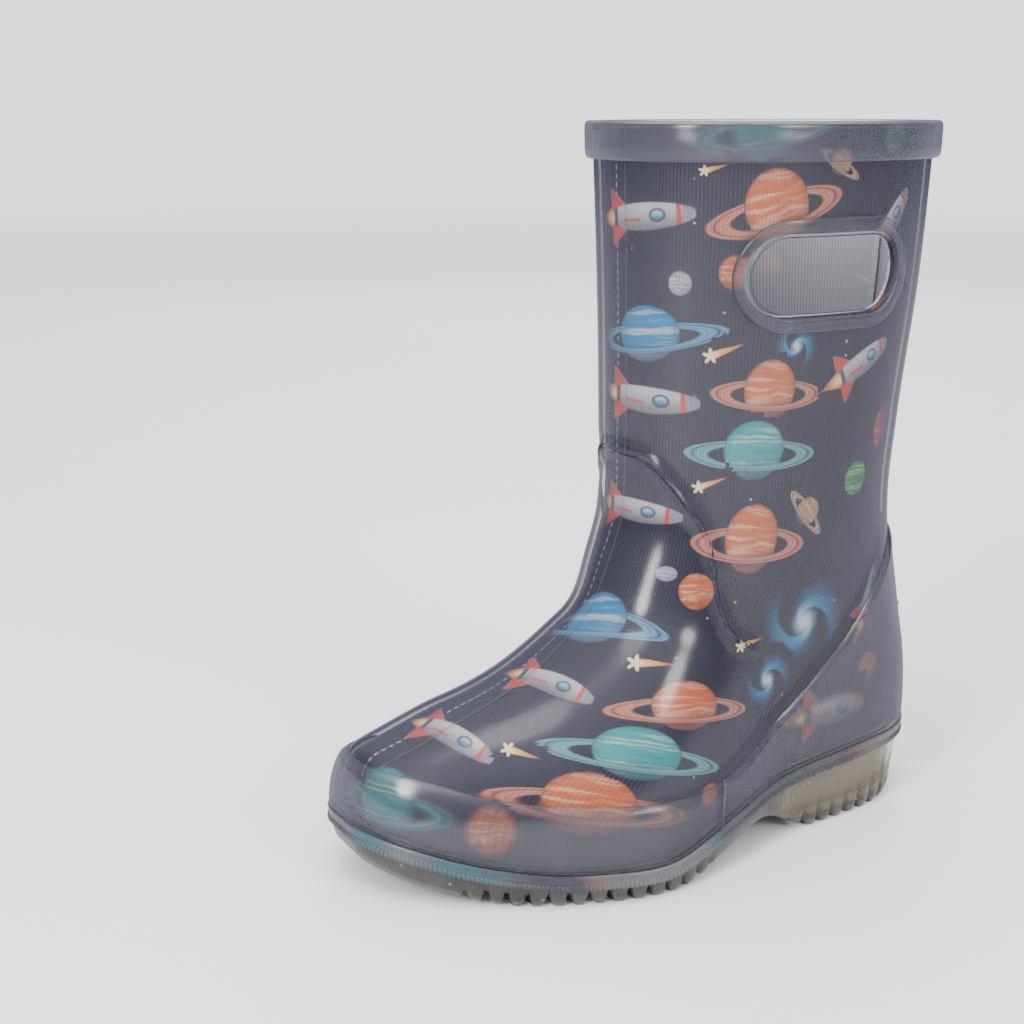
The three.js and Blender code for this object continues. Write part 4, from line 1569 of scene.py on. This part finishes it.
PRINT_PLACES = {
    Motif.GALAXY: (
        (0.232, 64, 8.5, Ink.ICE, 12),
        (0.302, 144, 3.8, Ink.ICE, -20),
        (0.226, 49, 5.0, Ink.ICE, 30),
    ),
    Motif.RINGED: (
        (0.266, 192, 3.5, Ink.TAN, -30),
        (0.268, 97, 4.0, Ink.TAN, -50),
        (0.350, 201, 8.6, Ink.TEAL, 8),
        (0.334, 181, 8.8, Ink.ORANGE, 14, 1.1),
        (0.328, 132.5, 7.4, Ink.ORANGE, -3, 1.1),
        (0.332, 91, 7.8, Ink.ORANGE, -5, 1.25),
        (0.316, 50, 10.6, Ink.ORANGE, -10, 0.62),
        (0.336, 28, 13.0, Ink.ORANGE, -10, 0.62),
        (0.340, 116, 8.6, Ink.TEAL, -3, 0.95),
        (0.324, 40, 12.6, Ink.TEAL, -12, 0.55),
        (0.482, 27, 9.0, Ink.TEAL),
        (0.468, 147, 10.4, Ink.BLUE, 8, 0.72),
        (0.484, 70, 10.0, Ink.BLUE, 17, 0.8),
        (0.062, 185, 8.0, Ink.TEAL, 10),
        (0.066, 132, 7.7, Ink.ORANGE, -4),
        (0.052, 70, 8.0, Ink.BLUE, -6),
    ),
    Motif.PLANET: (
        (0.370, 164, 4.4, Ink.ORANGE),
        (0.382, 78, 5.0, Ink.ORANGE),
        (0.200, 156, 4.2, Ink.ORANGE),
        (0.108, 45, 4.5, Ink.ORANGE),
        (0.386, 21, 6.5, Ink.ORANGE),
        (0.246, 23, 3.4, Ink.ORANGE),
        (0.154, 117, 5.0, Ink.RED, 0, 1.2),
        (0.426, 161, 3.2, Ink.GREY),
        (0.422, 83, 3.0, Ink.GREY, 0, 0.7),
        (0.192, 198, 4.5, Ink.GREEN),
        (0.200, 104, 5.0, Ink.GREEN),
    ),
    Motif.ROCKET: (
        (0.468, 178, 10.0, Ink.GREY, 5, 0.78),
        (0.462, 129, 10.0, Ink.GREY, 0, 0.78),
        (0.474, 98, 9.4, Ink.GREY, 0, 0.72),
        (0.468, 56, 8.8, Ink.GREY, -8, 0.80),
        (0.484, 44, 8.8, Ink.GREY, -20, 0.80),
        (0.132, 34, 8.5, Ink.GREY, 0),
        (0.205, 138, 7.4, Ink.GREY, 25),
        (0.182, 176, 7.2, Ink.GREY, 50),
        (0.134, 68, 6.8, Ink.GREY, 60),
        (0.060, 105, 6.8, Ink.GREY, 20),
    ),
    Motif.COMET: (
        (0.404, 190, 1.6, Ink.ORANGE, 15),
        (0.392, 142, 2.3, Ink.ORANGE, 20),
        (0.400, 106, 2.0, Ink.ORANGE, 20),
        (0.414, 62, 2.6, Ink.ORANGE, 2),
        (0.298, 61, 2.0, Ink.ORANGE, 8),
        (0.418, 42, 2.2, Ink.ORANGE, -15),
        (0.060, 152, 1.8, Ink.ORANGE, 20),
        (0.040, 88, 1.8, Ink.ORANGE, 8),
    ),
}
OUTER_PRINT = tuple(Stamp(motif, *row) for motif, rows in PRINT_PLACES.items() for row in rows)


@dataclass
class Sock:
    """Sewn knit sock: two printed panels, a sole panel, and the seams down the front and back."""

    skin: Skin
    hole: HandHole
    shift: Array
    outer_offset: float = -2.5
    fabric: float = 1.0
    top_gap: float = 0.7
    band_height: float = 10.2
    seam_offset: float = -4.4
    seam_thickness: float = 0.8
    seam_width: float = 2.4
    seam_low: float = 9.0
    thread: Cloth = Cloth("seam_thread", (0.52, 0.52, 0.57), 0.0007, 0.5)
    lining: Cloth = Cloth("sole_panel_knit", (0.46, 0.46, 0.51), 0.0010, 0.35)

    def print_for(self, side: int) -> tuple[Stamp, ...]:
        """The print of one panel: the inner panel repeats the outer's motifs in mirrored places.

        Args:
            side: 1 for the outer panel, -1 for the inner one.

        Returns:
            Its motifs, the last on top.
        """
        if side > 0:
            return OUTER_PRINT
        mirrored = (replace(one, turn=1.045 - one.turn, height=one.height + 3.0) for one in OUTER_PRINT)
        crossing = tuple(one for one in OUTER_PRINT if one.turn > 0.44)
        return tuple(one for one in mirrored if one.turn > 0.60) + crossing

    def veil(self, points: Array) -> Array:
        """How much the print is blurred by thick vinyl: smooth steps at the rim band, guards and rings.

        Args:
            points: Points of a panel.

        Returns:
            0 for clear to 1 for quite blurred.
        """
        form = self.skin.form
        band = step(points[:, 2], form.height - self.band_height - 0.5, form.height - self.band_height + 0.5)
        guard = 1 - step(points[:, 2] - form.guard(points[:, 1]), -1.2, 0.8)
        reach = self.hole.spoke(points[:, 1], points[:, 2])[3] - self.hole.height / 2
        ring = 1 - step(reach, 4.2, 5.2)
        return np.maximum(np.maximum(0.85 * band, 0.8 * guard), 0.6 * ring)

    def panel(self, side: int, node: str, materials: Sequence[bpy.types.Material]) -> bpy.types.Object:
        """Printed panel of one side.

        Each face takes the motif whose outline covers its middle. Its corners get the place in the
        motif's own frame: right and up in the tangent plane, in radii, with chords kept at their length.

        Args:
            side: 1 for the outer panel, -1 for the inner one.
            node: Name of its solid.
            materials: The knit's faces, plain and with each motif, and then its reverses.

        Returns:
            The piece.
        """
        first = 0 if side > 0 else self.skin.columns // 2
        columns = np.arange(first, first + self.skin.columns // 2 + 1)
        reverse = len(materials) // 2
        wall = PiercedWall(
            self.skin, self.hole, columns, self.outer_offset, self.outer_offset - self.fabric,
            hole_margin=0.3, lip=0.25, inner_tag=reverse, end_gap=0.05, top_gap=self.top_gap,
        )
        shape = wall.build()
        points = np.concatenate(shape.points)
        corners = shape.corners().reshape(-1, 4)
        middles = points[corners].mean(1)
        spot = np.zeros((len(corners), 4, 2))
        ink = np.zeros((len(corners), 4, 3))
        kinds = np.zeros(len(corners), dtype=int)
        form = self.skin.form
        for stamp in self.print_for(side):
            seat = form.surface(np.array([stamp.turn]), lambda y, z=stamp.height: np.full_like(y, z))
            normal = form.normals(seat)[0]
            seat = seat[0] + self.outer_offset * normal
            right = np.cross((0, 0, 1), normal)
            right /= np.linalg.norm(right)
            up = np.cross(normal, right)
            cos, sin = math.cos(math.radians(stamp.tilt)), math.sin(math.radians(stamp.tilt))
            right, up = right * cos + up * sin, up * cos - right * sin

            def place(at: Array) -> tuple[Array, Array]:
                """Places in the motif's frame.

                Args:
                    at: Points of the panel.

                Returns:
                    Places right and up, in radii of the motif.
                """
                away = at - seat
                u, v = away @ right, away @ up
                stretch = np.linalg.norm(away, axis=-1) / np.maximum(np.hypot(u, v), 1e-6) / stamp.size
                return u * stretch, v * stretch / stamp.squash

            u, v = place(middles)
            near = np.linalg.norm(middles - seat, axis=-1) < 5.2 * stamp.size
            hit = near & stamp.covers(u, v)
            u, v = place(points[corners[hit]])
            spot[hit] = np.stack([u, v], -1)
            ink[hit] = stamp.ink.value
            kinds[hit] = stamp.motif.value
        shape.tags = [kinds + np.concatenate(shape.tags)]
        piece = shape.object(node.replace("_panel", "_knit"), materials, self.shift)
        set_uv(piece, "weave", np.concatenate(wall.weave)[corners.ravel()])
        set_uv(piece, "motif", spot.reshape(-1, 2))
        set_corner_colours(piece, "ink", ink.reshape(-1, 3))
        set_attribute(piece, "veil", self.veil(points))
        return hand_in(piece, node, "printed_knit")

    def seam(self, turn: float, node: str) -> bpy.types.Object:
        """Bound seam inside the sock: a rounded tape whose edges wave with the overlock stitches.

        Its half width is a sine of the length along it, and its thickness falls off as 1 - across^4.

        Args:
            turn: 0 at the back, 0.5 at the front.
            node: Name of its solid.

        Returns:
            The piece.
        """
        form = self.skin.form
        low = float(form.joint(form.surface(np.array([turn]), form.joint)[:, 1])[0]) + self.seam_low
        top = form.height - 1.5
        share = np.linspace(0, 1, 700)[:, None]
        base = form.surface(np.full_like(share, turn), lambda y: low + (top - low) * share)
        across = np.linspace(-1, 1, 13)[None, :]
        side = 1 if turn == 0 else -1
        normals = form.normals(base)
        arc = np.concatenate([[0], np.cumsum(np.linalg.norm(np.diff(base[:, 0], axis=0), axis=-1))])[:, None]
        wave = np.sin(arc * 2 * math.pi / 2.6)
        half = self.seam_width / 2 * (0.93 + 0.07 * wave * np.sign(across))
        crown = 1 - across**4
        stitch = 0.12 * (0.5 + 0.5 * np.sin(arc * 2 * math.pi / 1.3 + across * 2.2)) * crown

        def face(depth: Array) -> Array:
            """Grid of one face.

            Args:
                depth: Distance from the skin, by places across the seam.

            Returns:
                Points, rows up the seam by places across it.
            """
            grid = base + depth[..., None] * normals
            grid[..., 0] += side * half * across
            return grid

        middle = self.seam_offset - self.seam_thickness / 2
        bulge = self.seam_thickness / 2 * crown**0.5
        shape = Shape()
        shape.slab(face(middle + bulge), face(middle - bulge - stitch))
        piece = shape.object(node + "_tape", [self.thread.material()], self.shift)
        return hand_in(piece, node, "seam_thread")

    def build(self, sole: "SoleForm") -> None:
        """Builds all of it.

        Args:
            sole: Form of the sole, on which the sole panel is a layer.
        """
        motifs = [("ground", None), *((motif.name.lower(), motif) for motif in Motif)]
        faces = [PrintedKnit(f"printed_knit_{name}", motif).material() for name, motif in motifs]
        faces += [PrintedKnit(f"knit_reverse_{name}", motif, True).material() for name, motif in motifs]
        self.panel(1, "sock_outer_panel", faces)
        self.panel(-1, "sock_inner_panel", faces)
        shape = sole.layer(0.3, 1.3, 3.8, 0.3)
        piece = shape.object("sock_sole_knit", [self.lining.material()], self.shift)
        hand_in(piece, "sock_sole_panel", "printed_knit")
        self.seam(0.5, "sock_front_seam")
        self.seam(0.0, "sock_back_seam")


# ---- Sole ----


@dataclass(frozen=True)
class SoleForm:
    """Outline of the sole joint, and grids that span it from the outer side to the inner side."""

    form: BootForm
    columns: int = 480

    def turns(self) -> Array:
        """Turns of the columns, half a column away from the back and the toe."""
        return (np.arange(self.columns) + 0.5) / self.columns

    def ring(self, turn: Array, offset: Array | float, taper: Array | float = 0.0) -> Array:
        """Points round the joint, moved out level by offset, less the taper at the back of the heel.

        Args:
            turn: Places round the boot.
            offset: Distance out.
            taper: Distance in at the very back.

        Returns:
            Points at the height of the joint.
        """
        point = self.form.surface(turn, self.form.joint)
        normal = self.form.normals(point)
        normal[..., 2] = 0
        normal /= np.linalg.norm(normal, axis=-1, keepdims=True)
        back = np.maximum(normal[..., 1], 0) * np.clip((self.form.share(point[..., 1]) - 0.7) * 6, 0, 1)
        return point + normal * (np.asarray(offset) - np.asarray(taper) * back)[..., None]

    def span(self, edge: Array, distances: Array) -> tuple[Array, Array]:
        """Grid across the sole: pairs of facing edge points, joined by straight lines.

        Args:
            edge: Points of the edge, one per column.
            distances: Distances in from each side, below half the width, up to its middle.

        Returns:
            The points, pairs from back to toe by places across, and the distance of each from the edge.
        """
        half = len(edge) // 2
        a, b = edge[:half], edge[::-1][:half]
        wide = np.linalg.norm(b - a, axis=-1)[:, None]
        d = np.minimum(distances[None, :], wide / 2 * (0.3 + 0.7 * distances / distances[-1])[None, :])
        d = np.maximum.accumulate(d, axis=1)
        t = np.concatenate([d / wide, 1 - d[:, -2::-1] / wide], 1)
        t = t + (np.linspace(0, 1, t.shape[1])[None, :] - t) * step(-wide, -14, -3)
        points = a[:, None] + (b - a)[:, None] * t[..., None]
        return points, np.minimum(t, 1 - t) * wide

    def layer(self, low: float, high: float, inset: float, rounding: float) -> Shape:
        """Closed layer that lies on the sole joint, its edges rounded by quarter circles.

        Args:
            low: Height of its underside above the joint.
            high: Height of its top above the joint.
            inset: Distance in from the joint's edge.
            rounding: Radius of its edges.

        Returns:
            The closed layer.
        """
        half, skipped = 100, 2
        edge = self.ring((np.arange(2 * half) + 0.5) / (2 * half), -inset)
        edge = np.concatenate([edge[skipped:half - skipped], edge[half + skipped:-skipped]])
        distances = np.array([0, 0.25, 0.6, 1.1, 1.8, 3.0, 5.0, 8.0, 12.0, 17.0, 23.0, 30.0])
        points, away = self.span(edge, distances)
        joint = self.form.joint(points[..., 1])
        curve = rounding * (1 - np.sqrt(1 - np.clip(1 - away / rounding, 0, 1) ** 2))
        top, under = points.copy(), points.copy()
        top[..., 2] = joint + high - curve
        under[..., 2] = joint + low + curve * 0.6
        shape = Shape()
        shape.slab(under, top)
        return shape


@dataclass
class Sole:
    """Outsole with lugs, foxing strip, heel filler and the insole's layers."""

    sole: SoleForm
    shift: Array
    flare: float = 0.4
    edge_tuck: float = 1.8
    heel_taper: float = 3.0
    lug_depth: float = 2.6
    lug_pitch: float = 5.6
    tread_pitch: float = 8.4
    heel_floor: float = 4.5
    heel_wall: float = 4.0
    filler_front: float = 0.68
    filler_gap: float = 0.35
    insole_inset: float = 4.85
    strip_height: float = 4.4
    knurl_pitch: float = 1.25
    smoky: SmokyVinyl = SmokyVinyl("smoky_vinyl")
    strip: StripVinyl = StripVinyl("strip_vinyl")
    filler: Filler = Filler("heel_filler_foam")
    board: Cloth = Cloth("fibre_board", (0.30, 0.23, 0.15), 0.0016, 0.3, 0.9, 0.5)
    foam: Filler = Filler("insole_foam_cells", (0.10, 0.11, 0.15))
    cover: Cloth = Cloth("insole_cloth", (0.44, 0.44, 0.50), 0.0011, 0.4)

    def active(self, s: Array) -> Array:
        """Smooth steps up and down along the forefoot, and again along the heel.

        Args:
            s: Share of the foot's length.

        Returns:
            1 where the lugs are.
        """
        fore = step(s, 0.08, 0.13) * (1 - step(s, 0.46, 0.50))
        heel = step(s, 0.675, 0.71) * (1 - step(s, 0.985, 0.999))
        return fore + heel

    def outsole(self) -> bpy.types.Object:
        """Outsole: a wall with a scalloped lower edge, a tread and a top with the pocket for the filler.

        The scallops are smooth steps of a triangle wave of the length round the edge, and the tread's
        bars those of a triangle wave along the boot.
        """
        form, sole = self.sole.form, self.sole
        turn = sole.turns()
        rim = sole.ring(turn, 0.0)
        s = form.share(rim[:, 1])
        arc = np.concatenate([[0], np.cumsum(np.linalg.norm(np.diff(rim, axis=0), axis=-1))])
        phase = np.abs((arc / self.lug_pitch) % 1 - 0.5) * 2
        notch = step(phase, 0.5, 0.9) * self.active(s)
        tread, joint = form.tread(rim[:, 1]), form.joint(rim[:, 1])
        rows = []
        rise = np.array([0, 0.05, 0.12, 0.2, 0.3, 0.42, 0.56, 0.72, 0.86, 0.95, 1.0])
        reach = np.array([-self.edge_tuck, -1, -0.45, -0.1, 0.12, 0.22, 0.28, 0.32, 0.36, 0.4, 0.4])
        taper = self.heel_taper * np.array([1, 0.95, 0.9, 0.82, 0.72, 0.58, 0.42, 0.26, 0.12, 0.04, 0])
        lug = np.array([1, 1, 0.9, 0.7, 0.4, 0.15, 0, 0, 0, 0, 0])
        for up, out, narrow, deep in zip(rise, reach, taper, lug):
            low = tread + self.lug_depth * notch
            ripple = 0.5 * (1 - phase**2) * self.active(s) * deep - 1.3 * notch * deep
            row = sole.ring(turn, out + ripple, narrow)
            row[:, 2] = low + (joint - low) * up
            rows.append(row)
        shape = Shape()
        wall = shape.add(np.stack(rows))
        shape.cells(wall, wrap=True)
        distances = np.array([0, 0.8, 1.6, 2.6, 3.8, 4.9, 5.4, 6.6, 7.1, 9, 11, 14, 17, 20, 23, 26, 30])
        ladder, away = sole.span(rows[0], distances)
        half = len(turn) // 2
        from_edge = 1 - step(away, 4.2, 5.2)
        notches = np.stack([notch[:half], notch[::-1][:half]], 1)
        share = np.linspace(0, 1, ladder.shape[1])[None, :] > 0.5
        edge_notch = np.where(share, notches[:, 1:], notches[:, :1])
        y = ladder[..., 1] + 0.004 * ladder[..., 0] ** 2
        bar = np.abs((y / self.tread_pitch) % 1 - 0.5) * 2
        groove = np.maximum(step(bar, 0.62, 0.8), step(away, 4.9, 5.4) * (1 - step(away, 6.6, 7.1)))
        cut = edge_notch * from_edge + groove * (1 - from_edge) * self.active(form.share(ladder[..., 1]))
        ladder[..., 2] = form.tread(ladder[..., 1]) + self.lug_depth * cut
        self.cap(shape, wall[0], ladder, False)
        top_distances = np.array([0, 2.0, 3.9, 4.1, 7, 12, 18, 24, 30])
        pocket, away = sole.span(rows[-1], top_distances)
        s_top = form.share(pocket[..., 1])
        deep = (away > self.heel_wall) & (s_top > self.filler_front)
        deep &= pocket[..., 1] < form.back_y - self.heel_wall - 0.4
        pocket[..., 2] = np.where(deep, self.heel_floor, form.joint(pocket[..., 1]))
        self.cap(shape, wall[-1], pocket, True)
        piece = shape.object("lugged_outsole", [self.smoky.material()], self.shift)
        points = np.concatenate(shape.points)
        heel = step(form.share(points[:, 1]), 0.60, 0.70)
        high = step(points[:, 2], 3.0, 6.0)
        set_attribute(piece, "clarity", np.minimum(0.06 + 0.56 * heel * high, 0.62))
        # Lighter near the underside of the lugs: partly rubbed wear, partly painted light glowing through the
        # thin lug tips.
        low = points[:, 2] - form.tread(points[:, 1])
        set_attribute(piece, "wear", 1 - step(low, 0.3, 2.4))
        return hand_in(piece, "outsole", "smoky_vinyl")

    @staticmethod
    def cap(shape: Shape, edge: Array, grid: Array, upward: bool) -> None:
        """Closes a wall with a grid across it, and with fans at the back and the toe.

        Args:
            shape: Piece under work.
            edge: Indices of the wall's edge, one per column.
            grid: Points across it, pairs by places.
            upward: Whether the cap faces up.
        """
        half = len(edge) // 2
        inner = shape.add(grid[1:-1, 1:-1])
        index = np.concatenate([edge[1:half - 1, None], inner, edge[::-1][1:half - 1, None]], 1)
        shape.cells(index, flip=upward)
        middle = index.shape[1] // 2
        ends = ((index[0], edge[0], edge[-1], upward), (index[-1], edge[half - 1], edge[half], not upward))
        for row, a, b, flip in ends:
            shape.fan(int(a), row[:middle + 1], flip)
            shape.fan(int(b), row[middle:], flip)
            shape.fan(int(a), np.array([row[middle], b]), flip)

    def foxing(self) -> bpy.types.Object:
        """Strip round the sole joint: a bead, a shallow channel and a finely knurled lower edge."""
        sole, form = self.sole, self.sole.form
        count = 2160
        turn = np.arange(count) / count
        rim = sole.ring(turn, 0.0)
        arc = np.concatenate([[0], np.cumsum(np.linalg.norm(np.diff(rim, axis=0), axis=-1))])
        whole = arc[-1] + np.linalg.norm(rim[0] - rim[-1])
        knurl = np.sin(arc / whole * round(whole / self.knurl_pitch) * 2 * math.pi)
        profile = [(0.72, -4.3, 0), (1.05, -4.4, 0.6), (1.5, -4.15, 1), (1.62, -3.6, 1), (1.45, -3.1, 0.8)]
        profile += [(1.2, -2.8, 0.2), (1.1, -2.2, 0), (1.15, -1.4, 0), (1.5, -1.0, 0), (1.62, -0.6, 0)]
        profile += [(1.5, -0.2, 0), (1.1, 0, 0), (0.74, -0.05, 0)]
        joint = form.joint(rim[:, 1])
        rows = []
        for out, drop, share in profile:
            row = sole.ring(turn, self.flare - 0.4 + out + 0.2 * share * knurl, self.heel_taper * -drop / 40)
            row[:, 2] = joint + drop * (self.strip_height / 4.4) - 0.12 * share * knurl * (drop < -4)
            rows.append(row)
        shape = Shape()
        index = shape.add(np.stack(rows))
        shape.cells(np.concatenate([index, index[:1]]), wrap=True)
        piece = shape.object("foxing_moulding", [self.strip.material()], self.shift)
        return hand_in(piece, "foxing_strip", "smoky_vinyl")

    def heel_filler(self) -> bpy.types.Object:
        """Rounded block inside the heel, its front cut square."""
        form = self.sole.form
        edge = self.sole.ring(self.sole.turns(), self.flare - self.heel_wall - self.filler_gap, 2.4)
        half = len(edge) // 2
        keep = int(np.sum(edge[:half, 1] > form.along(self.filler_front) + 0.4))
        edge = np.concatenate([edge[6:keep], edge[len(edge) - keep:len(edge) - 6]])
        distances = np.array([0, 0.3, 0.8, 1.6, 2.8, 5, 8, 12, 17, 23])
        points, away = self.sole.span(edge, distances)
        fall = 1.6 * (1 - np.sqrt(1 - np.clip(1 - away / 2.4, 0, 1) ** 2))
        top, under = points.copy(), points.copy()
        top[..., 2] = form.joint(points[..., 1]) - self.filler_gap - fall
        under[..., 2] = self.heel_floor + self.filler_gap + fall
        shape = Shape()
        shape.slab(under, top)
        piece = shape.object("heel_filler_block", [self.filler.material()], self.shift)
        return hand_in(piece, "heel_filler", "filler")

    def insole(self) -> None:
        """Board, foam and cloth cover: three layers, each a little above the one below."""
        layers = (
            ("insole_board", "insole_board_sheet", "fibre_board", 1.6, 3.1, 0.2, self.board.material()),
            ("insole_foam", "insole_foam_pad", "foam", 3.4, 7.0, 0.9, self.foam.material()),
            ("insole_cover", "insole_cover_cloth", "insole_cloth", 7.3, 8.1, 0.35, self.cover.material()),
        )
        for node, name, slot, low, high, rounding, material in layers:
            shape = self.sole.layer(low, high, self.insole_inset, rounding)
            piece = shape.object(name, [material], self.shift)
            node == "insole_foam"
            hand_in(piece, node, slot)

    def build(self) -> None:
        """Builds all of it."""
        self.outsole()
        self.foxing()
        self.heel_filler()
        self.insole()


# ---- Studio ----


@dataclass(frozen=True)
class Lamp:
    """Oval soft light aimed at a place, in metres."""

    name: str
    place: tuple[float, float, float]
    aim: tuple[float, float, float]
    size: tuple[float, float]
    watts: float

    def build(self) -> None:
        """Adds the light."""
        data = bpy.data.lights.new(self.name, "AREA")
        data.shape = "ELLIPSE"
        data.size, data.size_y = self.size
        data.energy = self.watts
        lamp = bpy.data.objects.new(self.name, data)
        lamp.location = self.place
        lamp.rotation_euler = (Vector(self.aim) - Vector(self.place)).to_track_quat("-Z", "Y").to_euler()
        bpy.context.scene.collection.objects.link(lamp)


@dataclass
class Studio:
    """Pale floor, pale surroundings, soft lights and the camera."""

    shift: Array
    camera_place: tuple[float, float, float] = (356.24, -258.55, 206.10)
    azimuth: float = 59.151
    pitch: float = 14.211
    lens: float = 56.28
    floor_size: float = 60.0
    side_strength: float = 0.32
    top_strength: float = 2.1
    backdrop_strength: float = 1.97
    lamps: tuple[Lamp, ...] = (
        Lamp("key_light", (0.48, -1.15, 0.80), (0.0, -0.02, 0.08), (0.34, 0.6), 15.0),
        Lamp("side_light", (1.35, 0.35, 0.80), (0.0, 0.0, 0.1), (0.5, 0.40), 9.0),
        Lamp("top_light", (0.25, -0.35, 1.4), (0.0, -0.03, 0.05), (0.7, 0.7), 7.0),
        Lamp("back_light", (-1.1, 0.8, 0.8), (0.0, 0.0, 0.1), (0.9, 0.9), 5.0),
    )

    def camera(self) -> None:
        """Camera at the height and distance of a product shot."""
        data = bpy.data.cameras.new("camera")
        data.lens = self.lens
        data.sensor_width = 36.0
        data.clip_start = 0.01
        camera = bpy.data.objects.new("camera", data)
        camera.location = Vector((np.array(self.camera_place) + self.shift) * MM)
        camera.rotation_euler = (math.radians(90 - self.pitch), 0.0, math.radians(self.azimuth))
        bpy.context.scene.collection.objects.link(camera)
        bpy.context.scene.camera = camera

    def floor(self) -> None:
        """Plain pale floor with a faint variation in tone, which fades into the backdrop far off."""
        half = self.floor_size / 2
        mesh = bpy.data.meshes.new("floor")
        corners = [(-half, -half, 0), (half, -half, 0), (half, half, 0), (-half, half, 0)]
        mesh.from_pydata(corners, [], [(0, 1, 2, 3)])
        kit = NodeKit("pale_floor")
        at = kit.place()
        tone = kit.smooth(kit.noise(at, 1.5, 2.0), 0.3, 0.7)
        colour = kit.mix(tone, (0.93, 0.93, 0.94), (0.96, 0.96, 0.96))
        board = kit.principled({"Base Color": colour, "Roughness": 0.6})
        reach = kit.add("ShaderNodeVectorMath", {"operation": "LENGTH"}, {0: at}, out="Value")
        clear = kit.add("ShaderNodeBsdfTransparent")
        mesh.materials.append(kit.finish(kit.blend(kit.smooth(reach, 0.9, 4.0), board, clear)))
        floor = bpy.data.objects.new("floor", mesh)
        bpy.context.scene.collection.objects.link(floor)

    def world(self) -> None:
        """Pale light from all round, stronger from above, and an even backdrop."""
        world = bpy.data.worlds.new("pale_surroundings")
        world.use_nodes = True
        nodes, links = world.node_tree.nodes, world.node_tree.links
        background = nodes["Background"]
        background.inputs["Color"].default_value = (0.97, 0.98, 1.0, 1.0)
        path, seen = nodes.new("ShaderNodeLightPath"), nodes.new("ShaderNodeMix")
        way, parts = nodes.new("ShaderNodeTexCoord"), nodes.new("ShaderNodeSeparateXYZ")
        rise = nodes.new("ShaderNodeMapRange")
        rise.interpolation_type = "SMOOTHSTEP"
        rise.inputs["To Min"].default_value = self.side_strength
        rise.inputs["To Max"].default_value = self.top_strength
        seen.inputs["B"].default_value = self.backdrop_strength
        links.new(way.outputs["Generated"], parts.inputs[0])
        links.new(parts.outputs["Z"], rise.inputs["Value"])
        links.new(path.outputs["Is Camera Ray"], seen.inputs["Factor"])
        links.new(rise.outputs[0], seen.inputs["A"])
        links.new(seen.outputs[0], background.inputs["Strength"])
        bpy.context.scene.world = world

    def build(self) -> None:
        """Builds all of it."""
        self.world()
        self.floor()
        self.camera()
        for lamp in self.lamps:
            lamp.build()


# ---- Assembly ----


def model_shift(skin: Skin) -> Array:
    """Move from the form's origin to the model's: the shell's middle in plan, in each.

    Args:
        skin: Skin of the boot.

    Returns:
        The move in millimetres.
    """
    low, high = (np.array(corner, dtype=float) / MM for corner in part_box("upper_shell"))
    middle = (low + high) / 2
    own = (skin.points.reshape(-1, 3).min(0) + skin.points.reshape(-1, 3).max(0)) / 2
    return np.array([middle[0] - own[0], middle[1] - own[1], 0.0])


def main() -> None:
    """Builds the boot and the studio."""
    logging.basicConfig(level=logging.INFO, format="%(name)s: %(message)s")
    form = BootForm()
    skin = Skin(form)
    shift = model_shift(skin)
    hole = HandHole(form)
    sole = SoleForm(form)
    Upper(skin, hole, shift).build()
    Sock(skin, hole, shift).build(sole)
    Sole(sole, shift).build()
    Studio(shift).build()


if __name__ == "__main__":
    main()
